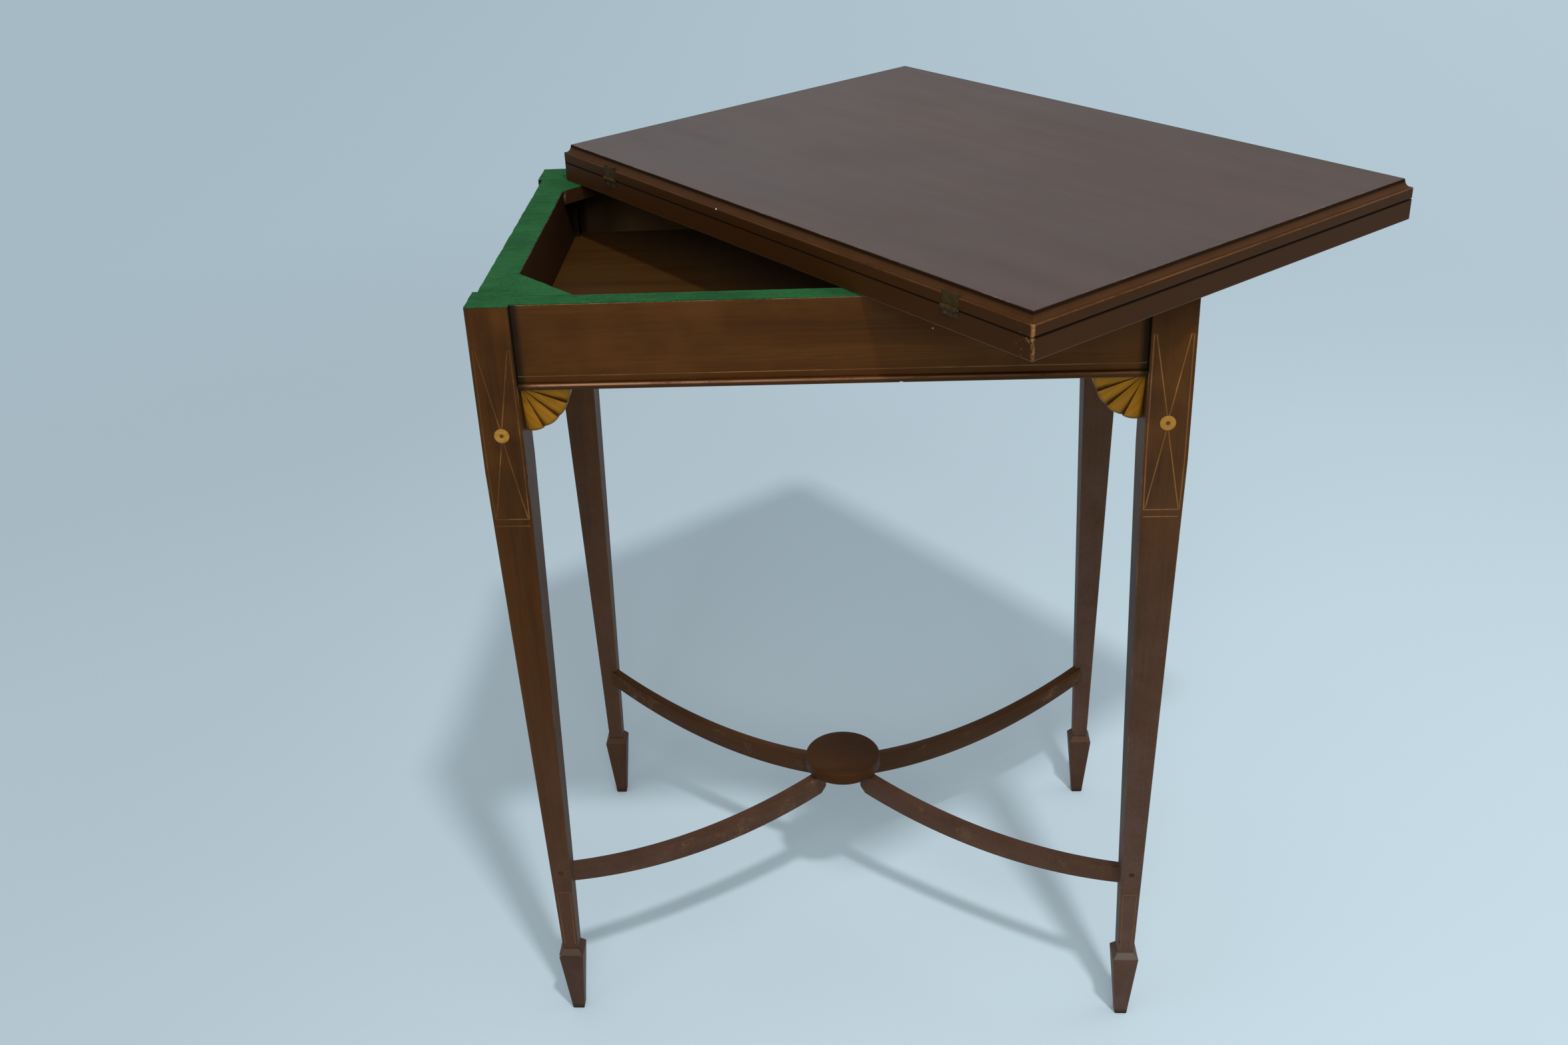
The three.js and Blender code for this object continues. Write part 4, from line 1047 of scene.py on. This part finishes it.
leaf = dict(  # the mouldings are given as depths below the top, or as insets from the side
    length=579.5 * mm, width=409 * mm, ease=0.35 * mm, field=(0.5 * mm, 0.1 * mm),
    fieldInset=(6.8 * mm, 6.1 * mm), side=(0.037, 0.0130, 0.0024), sideAmount=0.9,
    cove=(0.058, 0.0225, 0.0080), coveDepths=(7.6 * mm, 6.2 * mm, 4.0 * mm, 2.6 * mm),
    quirkDepths=(3.4 * mm, 1.9 * mm, 0.6 * mm, 0.05 * mm), quirkInset=(6.1 * mm, 5.6 * mm),
    lip=7.3 * mm, lipLine=(0.17, 0.080, 0.032), pale=(0.19, 0.130, 0.100), rub=(0.115, 0.068, 0.045),
    ochre=(0.25, 0.120, 0.038), bare=(0.66, 0.52, 0.36), mark=(0.014, 0.009, 0.007),
    scuffRun=-55.5 * mm, scuffDepth=7.4 * mm, scuffRadii=(1.17 * mm, 0.63 * mm),
)
topMarks = (  # place from the leaf's middle and direction, both as run and cross, half length, half width
    dict(at=(-22.7 * mm, 19.7 * mm), way=(0.80, 0.60), half=4.5 * mm, wide=1.0 * mm, dark=0.75, sink=3.0),
    dict(at=(260.2 * mm, 34.6 * mm), way=(0.05, 1.0), half=9.0 * mm, wide=0.5 * mm, dark=0.40, sink=1.0),
    dict(at=(-288.6 * mm, -7.8 * mm), way=(0.0, 1.0), half=6.0 * mm, wide=2.2 * mm, dark=0.80, sink=2.0),
    dict(at=(-272.2 * mm, -122.3 * mm), way=(0.0, 1.0), half=14.0 * mm, wide=0.7 * mm, dark=0.70, sink=2.0),
)
seamDepth = leafHigh.z - seam.z
lowerDepth = leafHigh.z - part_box("lower_leaf")[0].z
hingeEdge = leafCentre - acrossLeaf * leaf["width"] / 2
knockedCorner = hingeEdge + alongSeam * leaf["length"] / 2


def leafPlace(shader):
    # metres along and across from the leaf's middle, inset from the nearest side, depth below the top
    place = shader.place.shifted(leafCentre)
    run, cross = place.along(alongSeam), place.along(acrossLeaf)
    inset = (leaf["length"] / 2 - abs(run)).least(leaf["width"] / 2 - abs(cross))
    return run, cross, inset, leafHigh.z - shader.place.along(up)


def fromCorner(shader):
    # metres from the knocked corner, along the hinge edge and across it
    off = shader.place.shifted(knockedCorner)
    return abs(off.along(alongSeam)), abs(off.along(acrossLeaf))


def onField(depth):
    # the flat of the upper leaf, inside its moulding
    return depth.rise(*leaf["field"])


def offField(shader):
    # the upright faces are browner than the flat
    run, cross, inset, depth = leafPlace(shader)
    return depth.rise(0.3 * mm, 0.9 * mm) * inset.rise(7.0 * mm, 6.2 * mm, 0, leaf["sideAmount"])


def fieldPolish(shader):
    # on the field, and on the two faces that meet when the table is shut
    run, cross, inset, depth = leafPlace(shader)
    streaks = shader.noise(shader.vector(run * 6.0, cross * 40.0, 0.0), 1.0, 3.0)
    haze = shader.noise(shader.place, 6.0, 3.0)
    meeting = abs(depth - seamDepth).rise(0.6 * mm, 0.4 * mm) * inset.rise(0.5 * mm, 1.5 * mm)
    towardHinges = cross.rise(200 * mm, -200 * mm, 0, 0.35)
    return onField(depth).most(meeting) * (0.45 + streaks * 0.4 + haze * 0.4 + towardHinges)


def quirkDirtAndShade(shader):
    # dirt and painted shade in the narrow step between the field and the cove
    run, cross, inset, depth = leafPlace(shader)
    line = depth.band(*leaf["quirkDepths"]) * inset.rise(*leaf["quirkInset"])
    return line * patches(shader, 40.0).rise(0.25, 0.6, 0.6, 0.9)


def coveHighlight(shader):
    # painted highlight: the hollow of the moulding is warmer and lighter where it catches light, in clouds
    run, cross, inset, depth = leafPlace(shader)
    return depth.band(*leaf["coveDepths"]) * patches(shader, 24.0).rise(0.3, 0.7, 0.4, 1.0)


def lipLight(shader):
    # the rubbed upper edge of the lip, with a painted highlight, palest at the front end
    run, cross, inset, depth = leafPlace(shader)
    end = leaf["length"] / 2
    line = abs(depth - leaf["lip"]).rise(0.7 * mm, 0.25 * mm) * inset.rise(1.6 * mm, 0.9 * mm)
    onEnd = run.rise(end - 3 * mm, end - 1.5 * mm, 0.25, 0.55)
    return line * onEnd * patches(shader, 16.0, 300.0).rise(0.30, 0.66)


def seamDirt(shader):
    # dirt on the two edges that meet between the leaves
    run, cross, inset, depth = leafPlace(shader)
    near = abs(depth - seamDepth).rise(1.0 * mm, 0.45 * mm) * inset.rise(1.8 * mm, 1.0 * mm)
    return near * patches(shader, 60.0).rise(0.2, 0.6, 0.8, 1.0)


def fieldArris(shader):
    # the field's edge is rubbed pale and carries a painted highlight
    run, cross, inset, depth = leafPlace(shader)
    line = onField(depth) * inset.rise(*leaf["fieldInset"])
    return line * patches(shader, 30.0, 300.0).rise(0.52, 0.72, 0, 0.7)


def cornerWear(shader):
    # the front end of the hinge edge is knocked, and flaked for some way along
    a, b = fromCorner(shader)
    near = (a * a + b * b) ** 0.5
    broken = patches(shader, 150.0, 700.0)
    chips = near.rise(2.6 * mm, 0.9 * mm) * broken.rise(0.44, 0.62)
    flakes = near.rise(20 * mm, 3 * mm) * b.rise(3 * mm, 1 * mm) * broken.rise(0.60, 0.72, 0, 0.6)
    return chips.most(flakes)


def cornerBare(shader):
    # specks of bare wood in the knocked corner
    a, b = fromCorner(shader)
    return a.most(b).rise(1.8 * mm, 0.7 * mm) * patches(shader, 190.0, 900.0).rise(0.58, 0.72)


def allEdges(shader):
    # the four upright edges of a leaf
    run, cross, inset, depth = leafPlace(shader)
    a, b = leaf["length"] / 2 - abs(run), leaf["width"] / 2 - abs(cross)
    return a.most(b).rise(1.6 * mm, 0.3 * mm) * patches(shader, 45.0, 500.0).rise(0.52, 0.72, 0, 0.5)


def underLine(shader):
    # the rubbed lower edge of the lower leaf
    run, cross, inset, depth = leafPlace(shader)
    line = (lowerDepth - depth).rise(0.95 * mm, 0.5 * mm) * inset.rise(1.4 * mm, 0.9 * mm)
    return line * patches(shader, 30.0).rise(0.35, 0.7, 0.5, 1.0)


def topMark(shader, mark):
    # a dark scratch or dent in the top
    run, cross, inset, depth = leafPlace(shader)
    (atRun, atCross), (wayRun, wayCross) = mark["at"], Vector(mark["way"]).normalized()
    dr, dc = run - atRun, cross - atCross
    along, off = dr * wayRun + dc * wayCross, dc * wayRun - dr * wayCross
    off = off + (shader.noise(shader.place, 120.0) - 0.5) * 1.5 * mm
    along = abs(along).rise(mark["half"], mark["half"] * 0.4)
    off = abs(off).rise(mark["wide"], mark["wide"] * 0.2)
    return along * off * depth.rise(2.5 * mm, 0.1 * mm, 0, mark["dark"])


scuff = hingeEdge + alongSeam * leaf["scuffRun"]
scuff.z = leafHigh.z - leaf["scuffDepth"]
browner = coat(leaf["side"], offField, rough=0.05)
edges = [
    coat(leg["worn"], allEdges),
    coat(grimeAndShade, seamDirt, rough=0.4),
    coat(leaf["ochre"], cornerWear, rough=0.2, sink=1.5),
    coat(leaf["bare"], cornerBare, rough=0.3, sink=1.5)]
upperCoats = [
    browner,
    coat(leaf["cove"], coveHighlight, rough=0.05),
    coat(grimeAndShade, quirkDirtAndShade, rough=0.4),
    coat(leaf["lipLine"], lipLight),
    coat(leaf["pale"], fieldArris),
    *edges,
    *(coat(leaf["mark"], topMark, mark, sink=mark["sink"]) for mark in topMarks),
    coat(leaf["bare"], spot, scuff, *leaf["scuffRadii"], rough=0.3)]
lowerCoats = [browner, coat(leaf["rub"], underLine), *edges]
for name, seed, coats in (("upper", 61.0, upperCoats), ("lower", 67.0, lowerCoats)):
    material = wood("mahogany " + name + " leaf", topLook, alongSeam, acrossLeaf, seed, coats, fieldPolish)
    softEdges(name + "_leaf", leaf["ease"], material)
print("leaves polished")


# brass and iron

oldBrass = dict(color=(0.064, 0.040, 0.012), stain=(0.030, 0.0135, 0.0035), shine=(0.0, 0.3), roughness=0.6,
                specular=0.15, ease=0.2 * mm,
                nodes=("hinge_plate_upper_front", "hinge_plate_upper_back", "hinge_plate_lower_front",
                       "hinge_plate_lower_back"))
brass = dict(color=(0.36, 0.29, 0.13), stain=(0.05, 0.045, 0.02), shine=(0.5, 1.0), roughness=0.38,
             specular=0.5, ease=0.1 * mm, nodes=("bearing_plate",))
oldScrew = dict(oldBrass, color=(0.110, 0.088, 0.045), ease=0.1 * mm,
                nodes=("hinge_pin_front", "hinge_pin_back", "hinge_screw_front_a", "hinge_screw_front_b",
                       "hinge_screw_back_a", "hinge_screw_back_b"))
iron = dict(color=(0.16, 0.145, 0.13), stain=(0.030, 0.020, 0.014), shine=(0.5, 1.0), roughness=0.48,
            specular=0.5, ease=0.3 * mm,
            nodes=("swivel_plate", "swivel_bolt", "swivel_washer", "swivel_nut", "stop_pin",
                   *("disc_screw_" + name for name in corners)))


def metal(name, look, seed):
    # tarnish in patches, which shine less than the metal between them
    shader = newShader(name)
    place = shader.place.shifted((seed, 0, seed))
    tone = shader.noise(place, 180.0, 4.0, 0.65) * 0.65 + shader.noise(place, 900.0, 3.0, 0.6) * 0.35
    return shader.finish(Base_Color=shader.mix(tone.rise(0.35, 0.68), look["stain"], look["color"]),
                         Metallic=tone.rise(0.30, 0.60, *look["shine"]),
                         Roughness=look["roughness"] + (0.6 - tone) * 0.5,
                         Normal=shader.bump(tone, 0.06 * mm, 0.7), Specular_IOR_Level=look["specular"])


for seed, look in enumerate((oldBrass, brass, oldScrew, iron)):
    for i, name in enumerate(look["nodes"]):
        softEdges(name, look["ease"], metal("metal " + name, look, 4.0 * seed + i), 2)
print("metal fitted")


# floor, light and camera

stage = dict(size=40.0, color=(0.575, 0.715, 0.800), mottle=0.94, left=0.82, leftFrom=0.1, leftFull=-0.95,
             leftFar=(0.378, 0.488, 0.556), rightFar=(0.470, 0.592, 0.667), near=0.85, far=2.6, wide=2.5,
             room=(0.415, 0.480, 0.520), fill=0.51, fillColor=(0.95, 0.98, 1.0), sideTurn=0.7, roomRise=0.22)
lamps = dict(
    key=dict(toward=(0.33, -0.86, 1.62), distance=4.5, size=0.32, power=88.0, color=(1.0, 0.985, 0.96)),
    cloth=dict(toward=(0.05, -1.25, 1.0), distance=4.6, size=2.2, power=50.0, color=(1.0, 0.985, 0.96)),
    low=dict(toward=(-1.0, -0.9, 0.55), distance=3.5, size=2.4, power=7.0, color=(1.0, 0.99, 0.97)),
    side=dict(toward=(1.4, 0.3, 0.9), distance=3.2, size=2.0, power=8.0, color=(1.0, 1.0, 1.0)),
)
lampsAim = 0.4  # metres above the floor


def seenDirectly(shader):
    # 1 for rays from the camera, a reflection or glass
    ways = [shader.node("ShaderNodeLightPath", {}, {}, ray)
            for ray in ("Is Camera Ray", "Is Glossy Ray", "Is Transmission Ray")]
    return ways[0].most(ways[1]).most(ways[2])


def darker(color, share):
    return tuple(c * share for c in color)


half = stage["size"] / 2
floorMesh = bpy.data.meshes.new("floor")
floorMesh.from_pydata([(x * half, y * half, 0) for x, y in ((-1, -1), (1, -1), (1, 1), (-1, 1))], [],
                      [(0, 1, 2, 3)])
floor = bpy.data.objects.new("floor", floorMesh)
bpy.context.scene.collection.objects.link(floor)
paper = newShader("paper floor")
across = paper.place.along(right)
mottle = paper.noise(paper.place, 1.3, 3.0).rise(0.3, 0.7, 0, 0.2)
paperColor = paper.mix(mottle, stage["color"], darker(stage["color"], stage["mottle"]))
# painted shade: the floor is darker towards the left
paperColor = paper.mix(across.rise(stage["leftFrom"], stage["leftFull"]), paperColor,
                       darker(stage["color"], stage["left"]))
lit = paper.node("ShaderNodeBsdfDiffuse", {}, {"Color": paperColor})
# far away the floor glows in the backdrop's colour, painted darker towards the left
farColor = paper.mix(across.rise(-stage["wide"], stage["wide"]), stage["leftFar"], stage["rightFar"])
glow = paper.node("ShaderNodeEmission", {}, {"Color": farColor})
farAway = paper.place.distance(frameFloor).rise(stage["near"], stage["far"])
sheet = paper.node("ShaderNodeMixShader", {}, {0: farAway * seenDirectly(paper), 1: lit, 2: glow})
paper.node("ShaderNodeOutputMaterial", {}, {"Surface": sheet})
floorMesh.materials.append(paper.owner)

bpy.context.scene.world = bpy.data.worlds.new("studio")
sky = Shader(bpy.context.scene.world, "Generated")
turn = sky.place.along(right).rise(-stage["sideTurn"], stage["sideTurn"])
side = sky.mix(turn, stage["leftFar"], stage["rightFar"])
wall = sky.mix(sky.place.along(up).rise(0.0, stage["roomRise"]), side, stage["room"])
shown = sky.node("ShaderNodeBackground", {}, {"Color": wall, "Strength": 1.0})
fill = sky.node("ShaderNodeBackground", {}, {"Color": stage["fillColor"], "Strength": stage["fill"]})
either = sky.node("ShaderNodeMixShader", {}, {0: seenDirectly(sky), 1: fill, 2: shown})
sky.node("ShaderNodeOutputWorld", {}, {"Surface": either})

for name, lamp in lamps.items():
    data = bpy.data.lights.new(name, "AREA")
    data.shape = "DISK"
    data.size = lamp["size"]
    data.energy = lamp["power"]
    data.color = lamp["color"]
    light = bpy.data.objects.new(name, data)
    bpy.context.scene.collection.objects.link(light)
    toward = Vector(lamp["toward"]).normalized()
    light.location = frameFloor + up * lampsAim + toward * lamp["distance"]
    light.rotation_euler = (-toward).to_track_quat("-Z", "Y").to_euler()

# the camera stands in front and looks down; angles in radians, lens and shift in image widths
camera = dict(place=(0.02596, -1.27245, 1.11613), yaw=-0.0940, pitch=0.4637, roll=-0.0600,
              focal=2430.2 / 2353, shift=(83.77 / 2353, -82.12 / 2353), sensor=36)
data = bpy.data.cameras.new("camera")
data.sensor_fit = "HORIZONTAL"
data.sensor_width = camera["sensor"]
data.lens = camera["focal"] * camera["sensor"]
data.shift_x, data.shift_y = camera["shift"]
data.clip_start, data.clip_end = 0.05, 60
view = bpy.data.objects.new("camera", data)
bpy.context.scene.collection.objects.link(view)
bpy.context.scene.camera = view
yaw, pitch, roll = camera["yaw"], camera["pitch"], camera["roll"]
forward = Vector((math.sin(yaw) * math.cos(pitch), math.cos(yaw) * math.cos(pitch), -math.sin(pitch)))
level = Vector((math.cos(yaw), -math.sin(yaw), 0))
lift = level.cross(forward)
across = math.cos(roll) * level + math.sin(roll) * lift
upward = -math.sin(roll) * level + math.cos(roll) * lift
turn = Matrix((across, upward, -forward)).transposed().to_4x4()
view.matrix_world = Matrix.Translation(frameFloor + Vector(camera["place"])) @ turn

bpy.context.scene.view_settings.view_transform = "Standard"
print("stage set")
